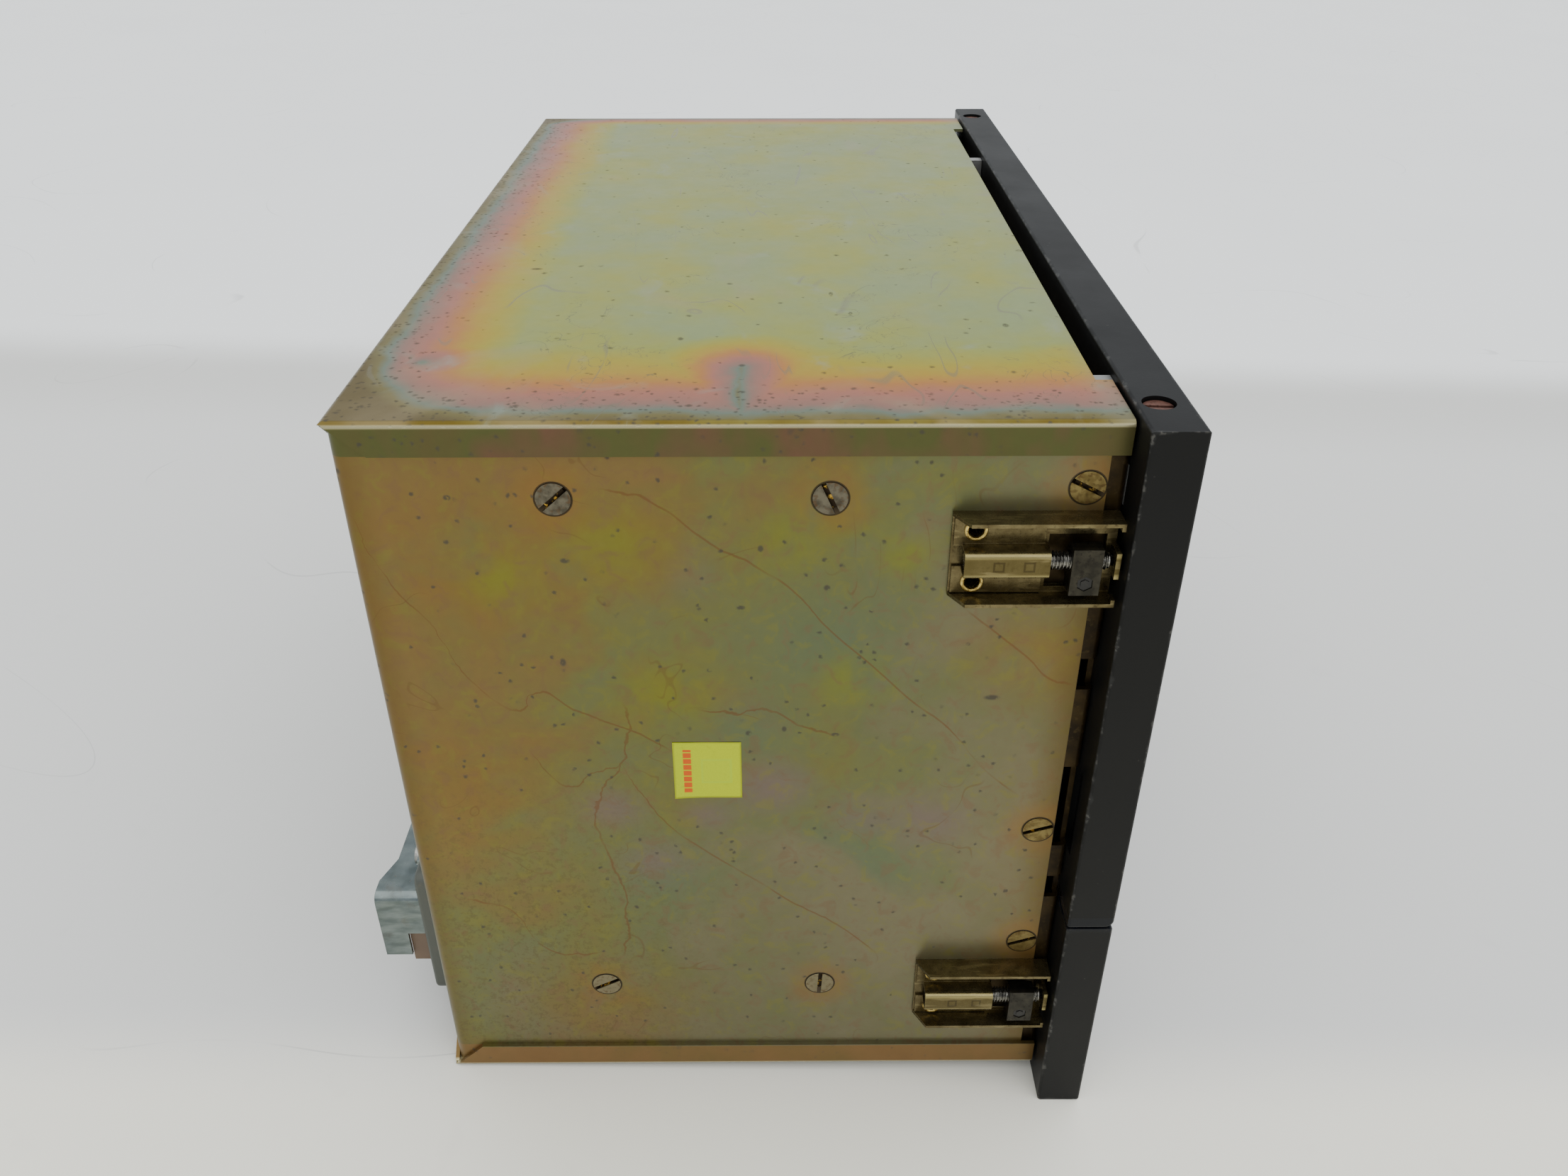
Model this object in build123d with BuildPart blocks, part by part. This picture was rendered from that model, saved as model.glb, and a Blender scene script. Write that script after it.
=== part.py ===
"""Panel frequency counter with a 288 x 192 mm front, in a case of folded steel sheet.

Frame: the origin is the centre of the panel cut-out, on the plane of the panel's front
face. -Y points out of the front, +X to the right of someone facing it, +Z up. Sizes are
in millimetres. "left" and "right" are as seen from the front.
"""
import os
from math import radians, sin, cos

from build123d import *

os.makedirs("parts", exist_ok=True)

# --- Front bezel: two frames, one above the other ---
bezel_w = 288.0
bezel_h = 192.0
bezel_t = 11.0
lower_bezel_h = 64.0
bezel_seam = 0.2
bezel_edge_r = 0.7
bezel_seam_r = 2.2
window_shoulder = 3.0
rabbet_side = 16.0
rabbet_top = 14.0
rabbet_lap = 4.0
relief_above_seam = (17.0, 41.0)
relief_depth = 2.0

# --- Case: a wrap of sheet with a lipped cover above and below ---
bezel_lap_side = 8.0
bezel_lap_height = 6.0
case_rear_y = 154.0
case_top_drop = 1.5
sheet_t = 1.0
cover_gap = 0.1
case_front_gap = 0.6
side_front_y = 4.0
slot_y = 4.0
slot_margin = 20.0
top_lip = 7.1
bottom_lip = 7.7
lip_mitre = 6.4
fold_r = 1.3
wrap_corner_r = 2.5

# --- Front frame: a folded tray behind the bezel ---
frame_t = 1.2
frame_depth = 20.0
frame_clear = 0.1
frame_top_drop = 6.0
frame_bottom_rise = 1.5

# --- Screws: countersunk at the sides, cheese heads elsewhere ---
m3_r = 1.5
m3_head_r = 2.75
m3_head_h = 1.8
m4_r = 2.0
m4_head_r = 3.5
m4_head_h = 1.6
m4_proud = 0.1
m4_length = 6.8
head_gap = 0.08
m35_r = 1.75
m35_head_r = 3.0
m35_head_h = 2.2
screw_slot_w = 1.0
screw_slot_depth = 1.0
hole_clear = 0.2

# --- Panel clamps ---
upper_clamp_drop = 28.9
lower_clamp_rise = 29.6
bracket_t = 0.8
bracket_h = 19.0
bracket_reach = 5.8
bracket_rear_y = 33.5
bracket_chamfer_y = 3.0
bracket_front_y = 0.7
bridge_t = 0.6
bridge_y = (14.4, 31.3)
bridge_fold_r = 1.1
eyelet_y = 28.8
eyelet_pitch = 11.9
eyelet_r = 2.4
eyelet_bore_r = 1.5
spindle_r = 2.0
spindle_gap = 0.2
spindle_y = (2.4, 31.0)
journal_r = 1.2
journal_clear = 0.1
jaw_y = (4.2, 10.2)
jaw_up = 3.8
jaw_down = 6.6
jaw_wall = 0.9
jaw_round_r = 2.0
jaw_bore_clear = 0.05
jaw_pin_r = 1.7
jaw_pin_drop = 3.9
jaw_pin_depth = 0.8
window_clear = 0.3

# --- Display ---
window_t = 3.0
window_fit = 0.2
gasket_t = 1.0
gasket_w = 5.0
mask_t = 0.8
digit_count = 7
digit_margin = 23.0
digit_share = 0.8
digit_h = 38.0
digit_depth = 8.5
board_t = 1.6

# --- Controls on the lower strip ---
panel_t = 2.0
button_w = 9.0
button_travel = 3.0
button_front_y = -15.0
button_clear = 0.3
stem_w = 4.0
stem_front_y = -6.2
power_r = 6.0
power_stem_r = 2.5
knob_r = 10.0
knob_front_y = -24.0
shaft_r = 3.0
shaft_clear = 0.05
bnc_r = 4.8

# --- Inside ---
rail_front_y = 36.0
rail_t = 1.5
rail_h = 14.0
rail_leg = 12.0
plate_t = 1.5
standoff_h = 8.0

# --- Rear connector ---
connector_inset = 16.0
connector_w = 70.0
connector_h = 42.0
connector_rise = 10.5
connector_frame_depth = 8.0
connector_corner_r = 3.0
insert_inset = 3.0
insert_rise = 9.0
insert_h = 21.5
insert_depth = 13.0
pin_count = 16
pin_pitch = 3.6
hood_inset = 2.0
hood_rise = 12.0
hood_h = 21.5
hood_depth = 20.0
hood_t = 1.0
hood_waist = 3.0
hood_ear = 6.0
hood_slope = 8.0

# --- Worked out from the sizes above ---
half_w = bezel_w / 2 - bezel_lap_side
case_h = bezel_h - bezel_lap_height
wrap_x = half_w - sheet_t
wrap_in_x = wrap_x - sheet_t
bezel_top_z = bezel_h / 2
bezel_bottom_z = -bezel_h / 2
seam_z = bezel_bottom_z + lower_bezel_h
relief_z = [seam_z + rise for rise in relief_above_seam]
display_z = (seam_z + bezel_top_z) / 2
control_z = (bezel_bottom_z + seam_z) / 2
case_top_z = bezel_top_z - case_top_drop
case_bottom_z = case_top_z - case_h
wrap_rear_y = case_rear_y - sheet_t
rabbet_y = -bezel_t + window_shoulder
frame_x = wrap_in_x - frame_clear
frame_top_z = case_top_z - frame_top_drop
frame_bottom_z = case_bottom_z + frame_bottom_rise
clamp_axis_x = wrap_x + bracket_t + spindle_gap + spindle_r
bridge_w = 2 * (spindle_r + bridge_t) + 3 * spindle_gap
bridge_height = 2 * spindle_r + bridge_t + 2.5 * spindle_gap
jaw_out = spindle_r + jaw_wall
jaw_in = spindle_r
clamp_z = (case_top_z - upper_clamp_drop, case_bottom_z + lower_clamp_rise)
bracket_x = wrap_x + bracket_t
upper_rabbet_z = (seam_z + rabbet_top, bezel_top_z - rabbet_top)
lower_rabbet_z = (bezel_bottom_z + 6.0, seam_z - 6.0)
rabbet_x = bezel_w / 2 - rabbet_side
button_x = (-0.15625 * rabbet_x, 0.03125 * rabbet_x)
power_x = -0.75 * rabbet_x
knob_x = 0.40625 * rabbet_x
bnc_x = 0.78125 * rabbet_x
row_screw_y = (rail_front_y + 21.5, case_rear_y - 42.6)
upper_screw_z = case_top_z - 16.6
lower_screw_z = case_bottom_z + 30.6
front_screw_y = 7.7
side_screws_yz = [
    (front_screw_y, case_top_z - 14.4),
    (front_screw_y, seam_z + 23.1),
    (front_screw_y, seam_z - 13.9),
    (row_screw_y[0], upper_screw_z),
    (row_screw_y[1], upper_screw_z),
    (row_screw_y[0], lower_screw_z),
    (row_screw_y[1], lower_screw_z),
]
bezel_screw_x = bezel_w / 2 - 13.1
bezel_screw_y = -4.6
bezel_screw_sink = m35_head_h + 0.8
lug_half_w = 2.8
lug_depth = 8.0
lug_z = (bezel_top_z - 20.4, bezel_top_z - 11.8)
rail_y = (rail_front_y, case_rear_y - 4)
upper_rail_z = (upper_screw_z - rail_h / 2, upper_screw_z + rail_h / 2)
lower_rail_z = (lower_screw_z - rail_h / 2, lower_screw_z + rail_h / 2)
plate_z = lower_rail_z[0] + rail_t
floor_z = plate_z + plate_t
board_z = floor_z + standoff_h
parts_z = board_z + board_t
digit_pitch = (2 * rabbet_x - 2 * digit_margin) / digit_count
digit_w = digit_share * digit_pitch
connector_x = (-half_w + connector_inset, -half_w + connector_inset + connector_w)
connector_z = (case_bottom_z + connector_rise, case_bottom_z + connector_rise + connector_h)
insert_x = (connector_x[0] + insert_inset, connector_x[1] - insert_inset)
insert_z = (connector_z[0] + insert_rise, connector_z[0] + insert_rise + insert_h)
insert_rear_y = wrap_rear_y + insert_depth
hood_x = (connector_x[0] + hood_inset, connector_x[1] - hood_inset)
hood_bottom_z = connector_z[0] + hood_rise
hood_top_z = hood_bottom_z + hood_h
hood_rear_y = wrap_rear_y + hood_depth
hood_screw_xs = (hood_x[0] + 12.0, hood_x[1] - 12.0)
hood_screw_z = hood_top_z + 3.5


def depth_at(share):
    """A place along the depth behind the rails' front ends, as a share of that depth."""
    return rail_front_y + share * (case_rear_y - rail_front_y)


def block(x, y, z, mode=Mode.ADD):
    """A box between two limits on each axis, given in either order."""
    spans = [(min(pair), max(pair)) for pair in (x, y, z)]
    with Locations(tuple((low + high) / 2 for low, high in spans)):
        Box(*(high - low for low, high in spans), mode=mode)


def rod(start, direction, radius, length, mode=Mode.ADD):
    """A round bar from a point along a direction."""
    with BuildSketch(Plane(origin=start, z_dir=direction)) as end:
        Circle(radius)
    extrude(end.sketch, amount=length, mode=mode)


def hex_rod(start, direction, radius, length, mode=Mode.ADD):
    """A six-sided bar from a point along a direction."""
    with BuildSketch(Plane(origin=start, z_dir=direction)) as end:
        RegularPolygon(radius, 6)
    extrude(end.sketch, amount=length, mode=mode)


def taper(start, direction, start_r, end_r, length, mode=Mode.ADD):
    """A cone without its tip, from a point along a direction."""
    with Locations(Plane(origin=start, z_dir=direction)):
        Cone(start_r, end_r, length, align=(Align.CENTER, Align.CENTER, Align.MIN), mode=mode)


def save(piece, name):
    """Label a finished piece and write it."""
    piece.part.label = name
    export_step(piece.part, f"parts/{name}.step")


def slot_cut(floor, direction, turn, length):
    """A driver slot across a head, upwards from its floor; turn is its angle in degrees."""
    if direction[0]:
        across, up = Vector(0, 1, 0), Vector(0, 0, 1)
    elif direction[1]:
        across, up = Vector(1, 0, 0), Vector(0, 0, 1)
    else:
        across, up = Vector(1, 0, 0), Vector(0, 1, 0)
    along = across * cos(radians(turn)) + up * sin(radians(turn))
    with BuildSketch(Plane(origin=floor, x_dir=along, z_dir=direction)) as slot:
        Rectangle(length, screw_slot_w)
    extrude(slot.sketch, amount=screw_slot_depth, mode=Mode.SUBTRACT)


def cheese_head(seat, direction, radius, head_r, head_h, length, slot_turn):
    """A slotted cheese-head screw: its head stands on the seat, towards the direction."""
    out = Vector(*direction)
    rod(seat, direction, head_r, head_h)
    rod(seat, tuple(out * -1), radius, length)
    floor = Vector(*seat) + out * (head_h - screw_slot_depth)
    slot_cut(tuple(floor), direction, slot_turn, 2 * head_r + 1)


def countersink(face_x, side, y, z):
    """The sunk hole for a side screw, as seen by a sheet whose outer face is at face_x."""
    depth = wrap_x - face_x
    slope = (m4_head_r - m4_r) / m4_head_h
    mouth_r = m4_head_r + head_gap - (depth - m4_proud) * slope
    rim_r = mouth_r - m4_proud * slope
    taper((side * face_x, y, z), (-side, 0, 0), rim_r, m4_r, (rim_r - m4_r) / slope, Mode.SUBTRACT)


def flat_head(side, y, z, slot_turn):
    """A slotted countersunk screw whose head stands just proud of the case's side."""
    top_x = wrap_x + m4_proud
    inward = (-side, 0, 0)
    taper((side * top_x, y, z), inward, m4_head_r, m4_r, m4_head_h)
    rod((side * (top_x - m4_head_h), y, z), inward, m4_r, m4_length - m4_head_h)
    slot_cut((side * (top_x - screw_slot_depth), y, z), (side, 0, 0), slot_turn, 2 * m4_head_r + 1)


# ---------------------------------------------------------------- bezel frames
with BuildPart() as upper_bezel:
    block((-bezel_w / 2, bezel_w / 2), (-bezel_t, 0), (seam_z + bezel_seam / 2, bezel_top_z))
    front_bottom_edge = upper_bezel.edges().filter_by(Axis.X).group_by(Axis.Z)[0].sort_by(Axis.Y)[0]
    fillet(front_bottom_edge, bezel_seam_r)
    front_edges = upper_bezel.faces().sort_by(Axis.Y)[0].edges()
    fillet(front_edges.filter_by(Axis.Z) + front_edges.filter_by(Axis.X).sort_by(Axis.Z)[-1:], bezel_edge_r)
    fillet(upper_bezel.faces().sort_by(Axis.Y)[-1].edges(), bezel_edge_r)
    block(
        (-rabbet_x + rabbet_lap, rabbet_x - rabbet_lap),
        (-bezel_t, 0),
        (upper_rabbet_z[0] + rabbet_lap, upper_rabbet_z[1] - rabbet_lap),
        Mode.SUBTRACT,
    )
    block((-rabbet_x, rabbet_x), (rabbet_y, 0), upper_rabbet_z, Mode.SUBTRACT)
    for side in (-1, 1):
        screw_at = (side * bezel_screw_x, bezel_screw_y, bezel_top_z)
        rod(screw_at, (0, 0, -1), m35_head_r + 0.3, bezel_screw_sink, Mode.SUBTRACT)
        rod(screw_at, (0, 0, -1), m35_r + hole_clear, bezel_top_z - lug_z[1], Mode.SUBTRACT)
        block(
            (side * (bezel_screw_x - lug_half_w - 0.2), side * (bezel_screw_x + lug_half_w + 0.2)),
            (-lug_depth - 0.2, 0),
            (lug_z[0] - 0.2, lug_z[1] + 0.2),
            Mode.SUBTRACT,
        )
        # A shallow relief with sloping ends in the seating rim beside the case
        with BuildSketch(Plane.XY.offset(relief_z[0])):
            with BuildLine():
                Polyline(
                    (side * (half_w + 1.2), 0),
                    (side * (half_w - 0.4), -relief_depth),
                    (side * (rabbet_x + 2), -relief_depth),
                    (side * (rabbet_x + 2), 0),
                    close=True,
                )
            make_face()
        extrude(amount=relief_z[1] - relief_z[0], mode=Mode.SUBTRACT)
save(upper_bezel, "upper_bezel")

with BuildPart() as lower_bezel:
    block((-bezel_w / 2, bezel_w / 2), (-bezel_t, 0), (bezel_bottom_z, seam_z - bezel_seam / 2))
    fillet(lower_bezel.faces().sort_by(Axis.Y)[0].edges(), bezel_edge_r)
    fillet(lower_bezel.faces().sort_by(Axis.Y)[-1].edges(), bezel_edge_r)
    block(
        (-rabbet_x + rabbet_lap, rabbet_x - rabbet_lap),
        (-bezel_t, 0),
        (lower_rabbet_z[0] + rabbet_lap, lower_rabbet_z[1] - rabbet_lap),
        Mode.SUBTRACT,
    )
    block((-rabbet_x, rabbet_x), (rabbet_y, 0), lower_rabbet_z, Mode.SUBTRACT)
save(lower_bezel, "lower_bezel")

# ---------------------------------------------------------------- display stack
window_x = rabbet_x - window_fit
window_z = (upper_rabbet_z[0] + window_fit, upper_rabbet_z[1] - window_fit)
gasket_y = rabbet_y + window_t
mask_y = gasket_y + gasket_t
digit_y = mask_y + mask_t
display_board_y = digit_y + digit_depth

with BuildPart() as display_window:
    block((-window_x, window_x), (rabbet_y, gasket_y), window_z)
    fillet(display_window.edges().filter_by(Axis.Y), 1.5)
save(display_window, "display_window")

with BuildPart() as window_gasket:
    block((-window_x, window_x), (gasket_y, mask_y), window_z)
    block(
        (-window_x + gasket_w, window_x - gasket_w),
        (gasket_y, mask_y),
        (window_z[0] + gasket_w, window_z[1] - gasket_w),
        Mode.SUBTRACT,
    )
save(window_gasket, "window_gasket")

digit_xs = [(i - (digit_count - 1) / 2) * digit_pitch for i in range(digit_count)]

with BuildPart() as display_mask:
    block((-window_x, window_x), (mask_y, digit_y), window_z)
    for x in digit_xs:
        block(
            (x - digit_w / 2 + 2, x + digit_w / 2 - 2),
            (mask_y, digit_y),
            (display_z - digit_h / 2 + 2, display_z + digit_h / 2 - 2),
            Mode.SUBTRACT,
        )
save(display_mask, "display_mask")

with BuildPart() as digit_modules:
    for x in digit_xs:
        block(
            (x - digit_w / 2, x + digit_w / 2),
            (digit_y, display_board_y),
            (display_z - digit_h / 2, display_z + digit_h / 2),
        )
save(digit_modules, "digit_modules")

digits_x = digit_count * digit_pitch / 2
display_board_x = digits_x + 13.0
display_standoff_x = digits_x + 9.0
display_standoff_z = 23.0
web_open_x = digits_x + 4.0
web_open_z = 22.0

with BuildPart() as display_board:
    block(
        (-display_board_x, display_board_x),
        (display_board_y, display_board_y + board_t),
        (display_z - 28, display_z + 28),
    )
save(display_board, "display_board")

with BuildPart() as display_standoffs:
    for x in (-display_standoff_x, display_standoff_x):
        for dz in (-display_standoff_z, display_standoff_z):
            hex_rod((x, frame_t, display_z + dz), (0, 1, 0), 2.8, display_board_y - frame_t)
save(display_standoffs, "display_standoffs")

# ---------------------------------------------------------------- front frame
frame_slots_z = [(seam_z + 62.6, seam_z + 70.7), relief_z, (seam_z + 0.2, seam_z + 7.1)]

with BuildPart() as front_frame:
    block((-frame_x, frame_x), (0, frame_depth), (frame_bottom_z, frame_top_z))
    fillet(front_frame.faces().sort_by(Axis.Y)[0].edges(), frame_t)
    block(
        (-frame_x + frame_t, frame_x - frame_t),
        (frame_t, frame_depth),
        (frame_bottom_z + frame_t, frame_top_z - frame_t),
        Mode.SUBTRACT,
    )
    block(
        (-web_open_x, web_open_x),
        (0, frame_t),
        (display_z - web_open_z, display_z + web_open_z),
        Mode.SUBTRACT,
    )
    block(
        (-rabbet_x, rabbet_x),
        (0, frame_t),
        (lower_rabbet_z[0], lower_rabbet_z[1]),
        Mode.SUBTRACT,
    )
    for side in (-1, 1):
        for low, high in frame_slots_z:
            block((side * (frame_x - 2.5), side * frame_x), (0, 3.6), (low, high), Mode.SUBTRACT)
        for y, z in side_screws_yz[:3]:
            rod((side * frame_x, y, z), (-side, 0, 0), m4_r, frame_t, Mode.SUBTRACT)
            countersink(frame_x, side, y, z)
save(front_frame, "front_frame")

with BuildPart() as bezel_lugs:
    for side in (-1, 1):
        x_in = side * (bezel_screw_x - lug_half_w)
        x_out = side * (bezel_screw_x + lug_half_w)
        block((x_in, x_out), (-lug_depth, 0), lug_z)
        tapped = (side * bezel_screw_x, bezel_screw_y, lug_z[1])
        rod(tapped, (0, 0, -1), m35_r, lug_z[1] - lug_z[0], Mode.SUBTRACT)
save(bezel_lugs, "bezel_lugs")

slot_half = half_w - slot_margin
spacer_xs = (-slot_half, slot_half - 45.0)

with BuildPart() as bezel_spacers:
    for x in spacer_xs:
        block((x, x + 3.8), (0.1, slot_y - 0.1), (frame_top_z, case_top_z - 0.6))
save(bezel_spacers, "bezel_spacers")

# ---------------------------------------------------------------- case
wrap_z = (case_bottom_z + sheet_t + cover_gap, case_top_z - sheet_t - cover_gap)

with BuildPart() as case_wrap:
    block((-wrap_x, wrap_x), (side_front_y, wrap_rear_y), wrap_z)
    rear_corners = case_wrap.edges().filter_by(Axis.Z).group_by(Axis.Y)[-1]
    fillet(rear_corners, wrap_corner_r)
    with BuildSketch(Plane.XY.offset(wrap_z[0])) as inner:
        inner_depth = wrap_rear_y - sheet_t - side_front_y
        with Locations((0, side_front_y + inner_depth / 2)):
            Rectangle(2 * wrap_in_x, inner_depth)
        fillet(inner.vertices().group_by(Axis.Y)[-1], wrap_corner_r - sheet_t)
    extrude(amount=wrap_z[1] - wrap_z[0], mode=Mode.SUBTRACT)
    for side in (-1, 1):
        for y, z in side_screws_yz:
            rod((side * wrap_x, y, z), (-side, 0, 0), m4_r + hole_clear, sheet_t, Mode.SUBTRACT)
            countersink(wrap_x, side, y, z)
        for z in clamp_z:
            block(
                (side * wrap_in_x, side * wrap_x),
                (side_front_y, jaw_y[1] + 4.1),
                (z - jaw_down - 4 * window_clear, z + jaw_up + 4 * window_clear),
                Mode.SUBTRACT,
            )
            for dz in (-eyelet_pitch / 2, eyelet_pitch / 2):
                hole_at = (side * wrap_x, eyelet_y, z + dz)
                rod(hole_at, (-side, 0, 0), eyelet_r - 0.5, sheet_t, Mode.SUBTRACT)
    block(
        (insert_x[0] + 1.5, insert_x[1] - 1.5),
        (wrap_rear_y - sheet_t, wrap_rear_y),
        (insert_z[0] + 1.5, insert_z[1] - 1.5),
        Mode.SUBTRACT,
    )
save(case_wrap, "case_wrap")


def cover(box, plate_z, lip_z, notch):
    """A flat cover with lips on its two sides and its rear, mitred at the rear corners.

    plate_z is the outer face, lip_z the lips' free edge. notch cuts the slot behind the
    bezel.
    """
    inward = 1 if lip_z > plate_z else -1
    block((-half_w, half_w), (case_front_gap, case_rear_y), (plate_z, lip_z))
    outer = box.faces().sort_by(Axis.Z)[0 if inward > 0 else -1]
    sides = outer.edges().filter_by(Axis.Y) + outer.edges().filter_by(Axis.X).sort_by(Axis.Y)[-1:]
    fillet(sides, fold_r)
    block(
        (-wrap_x, wrap_x),
        (case_front_gap, wrap_rear_y),
        (plate_z + inward * sheet_t, lip_z),
        Mode.SUBTRACT,
    )
    if notch:
        block(
            (-slot_half, slot_half),
            (case_front_gap, slot_y),
            (plate_z, plate_z + inward * sheet_t),
            Mode.SUBTRACT,
        )
    # The lips stop on a slope before each rear corner
    for side in (-1, 1):
        for plane, corner, reach in (
            (Plane.YZ.offset(side * wrap_x), case_rear_y, side * sheet_t),
            (Plane.XZ.offset(-wrap_rear_y), side * half_w, -sheet_t),
        ):
            step = -side if plane.z_dir.Y else -1
            with BuildSketch(plane) as waste:
                with BuildLine():
                    Polyline(
                        (corner, plate_z + inward * 0.4),
                        (corner + step * 1.4, plate_z + inward * sheet_t * 1.01),
                        (corner + step * (lip_mitre + 2), lip_z),
                        (corner, lip_z),
                        close=True,
                    )
                make_face()
            extrude(waste.sketch, amount=reach, mode=Mode.SUBTRACT)


with BuildPart() as top_cover:
    cover(top_cover, case_top_z, case_top_z - top_lip, notch=True)
save(top_cover, "top_cover")

with BuildPart() as bottom_cover:
    cover(bottom_cover, case_bottom_z, case_bottom_z + bottom_lip, notch=False)
save(bottom_cover, "bottom_cover")

# ---------------------------------------------------------------- rails and chassis plate
for name, (low, high), leg_z in (
    ("upper_rails", upper_rail_z, upper_rail_z[0]),
    ("lower_rails", lower_rail_z, lower_rail_z[0]),
):
    with BuildPart() as rails:
        for side in (-1, 1):
            block((side * (frame_x - rail_t), side * frame_x), rail_y, (low, high))
            block((side * (frame_x - rail_leg), side * frame_x), rail_y, (leg_z, leg_z + rail_t))
            screw_z = upper_screw_z if name == "upper_rails" else lower_screw_z
            for y in row_screw_y:
                rod((side * frame_x, y, screw_z), (-side, 0, 0), m4_r, rail_t, Mode.SUBTRACT)
                countersink(frame_x, side, y, screw_z)
    save(rails, name)

with BuildPart() as chassis_plate:
    plate_rear_y = case_rear_y - 6
    plate_x = frame_x - rail_t - 0.3
    block((-plate_x, plate_x), (rail_y[0], plate_rear_y), (plate_z, floor_z))
    block(
        (connector_x[0] + 1, connector_x[1] - 1),
        (plate_rear_y - 18, plate_rear_y),
        (plate_z, floor_z),
        Mode.SUBTRACT,
    )
save(chassis_plate, "chassis_plate")

# ---------------------------------------------------------------- screws
slot_turns = (27.0, 162.0, 160.0, 66.0, 138.0, 93.0, 152.0)

with BuildPart() as side_screws:
    for side in (-1, 1):
        for (y, z), turn in zip(side_screws_yz, slot_turns):
            flat_head(side, y, z, turn)
save(side_screws, "side_screws")

with BuildPart() as bezel_screws:
    for side in (-1, 1):
        seat = (side * bezel_screw_x, bezel_screw_y, bezel_top_z - bezel_screw_sink)
        cheese_head(seat, (0, 0, 1), m35_r, m35_head_r, m35_head_h, 14, 85)
save(bezel_screws, "bezel_screws")

# ---------------------------------------------------------------- panel clamps
bridge_top = bracket_x + bridge_height
eyelet_seat = bracket_x + bridge_t


def bracket(side, z):
    """A channel with its base on the case, two flanges outwards and a front bearing tab."""
    low, high = z - bracket_h / 2, z + bracket_h / 2
    tip = wrap_x + bracket_reach
    for edge, inner in ((low, low + bracket_t), (high - bracket_t, high)):
        with BuildSketch(Plane.XY.offset(edge)) as flange:
            with BuildLine():
                Polyline(
                    (side * wrap_x, bracket_front_y),
                    (side * tip, bracket_front_y),
                    (side * tip, bracket_rear_y - bracket_chamfer_y),
                    (side * bracket_x, bracket_rear_y),
                    (side * wrap_x, bracket_rear_y),
                    close=True,
                )
            make_face()
        extrude(flange.sketch, amount=inner - edge)
    block((side * wrap_x, side * bracket_x), (bracket_front_y, bracket_rear_y), (low, high))
    for edge, inward in ((low + bracket_t, 1), (high - bracket_t, -1)):
        block(
            (side * (tip - 2.5), side * tip),
            (bracket_front_y, bracket_front_y + bracket_t),
            (edge, edge + inward * 0.9),
        )
    block(
        (side * wrap_x, side * bracket_x),
        (jaw_y[0] - 1.5, jaw_y[1] + 3.9),
        (z - jaw_down - 3 * window_clear, z + jaw_up + 3 * window_clear),
        Mode.SUBTRACT,
    )
    block(
        (side * bracket_x, side * tip),
        (bracket_front_y, bracket_front_y + 1.0),
        (z - bridge_w / 2, z + bridge_w / 2),
    )
    bearing = (side * clamp_axis_x, bracket_front_y, z)
    rod(bearing, (0, 1, 0), journal_r + journal_clear, 1.0, Mode.SUBTRACT)
    for dz in (-eyelet_pitch / 2, eyelet_pitch / 2):
        hole_at = (side * wrap_x, eyelet_y, z + dz)
        rod(hole_at, (side, 0, 0), eyelet_r - 0.5, bracket_t, Mode.SUBTRACT)


def bridge(side, z):
    """A hat section riveted to the bracket's base, arching over the spindle."""
    flange = bracket_h / 2 - bracket_t - 0.2
    foot_y = (bridge_y[0] + 0.5, bracket_rear_y - 0.4)
    block((side * bracket_x, side * eyelet_seat), foot_y, (z - flange, z + flange))
    with BuildSketch(Plane.XZ.offset(-bridge_y[0])) as arch:
        with Locations((side * (bracket_x + bridge_top) / 2, z)):
            Rectangle(bridge_height, bridge_w)
        fillet(arch.vertices().sort_by(Axis.X, reverse=side > 0)[:2], bridge_fold_r)
    extrude(arch.sketch, amount=bridge_y[0] - bridge_y[1])
    block(
        (side * bracket_x, side * (bridge_top - bridge_t)),
        (bridge_y[0], bracket_rear_y),
        (z - bridge_w / 2 + bridge_t, z + bridge_w / 2 - bridge_t),
        Mode.SUBTRACT,
    )
    for dz in (-eyelet_pitch / 2, eyelet_pitch / 2):
        hole_at = (side * bracket_x, eyelet_y, z + dz)
        rod(hole_at, (side, 0, 0), eyelet_r - 0.5, bridge_t, Mode.SUBTRACT)


def eyelet(side, z):
    """A hollow rivet: a rolled head outside, a barrel through the sheets and a curl inside."""
    barrel_r = eyelet_r - 0.55
    rod((side * eyelet_seat, eyelet_y, z), (side, 0, 0), eyelet_r, 0.5)
    rod((side * wrap_in_x, eyelet_y, z), (side, 0, 0), barrel_r, eyelet_seat - wrap_in_x)
    rod((side * wrap_in_x, eyelet_y, z), (-side, 0, 0), eyelet_r, 0.5)
    rod((side * (wrap_in_x - 0.5), eyelet_y, z), (side, 0, 0), eyelet_bore_r, 6, Mode.SUBTRACT)


def spindle(side, z):
    """The clamp's screw, with a journal in front and a driver slot at its rear end."""
    x = side * clamp_axis_x
    rod((x, spindle_y[0], z), (0, 1, 0), spindle_r, spindle_y[1] - spindle_y[0])
    rod((x, bracket_front_y - 0.1, z), (0, 1, 0), journal_r, spindle_y[0] - bracket_front_y + 0.1)
    block((x - 3, x + 3), (spindle_y[1] - 1.2, spindle_y[1]), (z - 0.4, z + 0.4), Mode.SUBTRACT)


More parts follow.
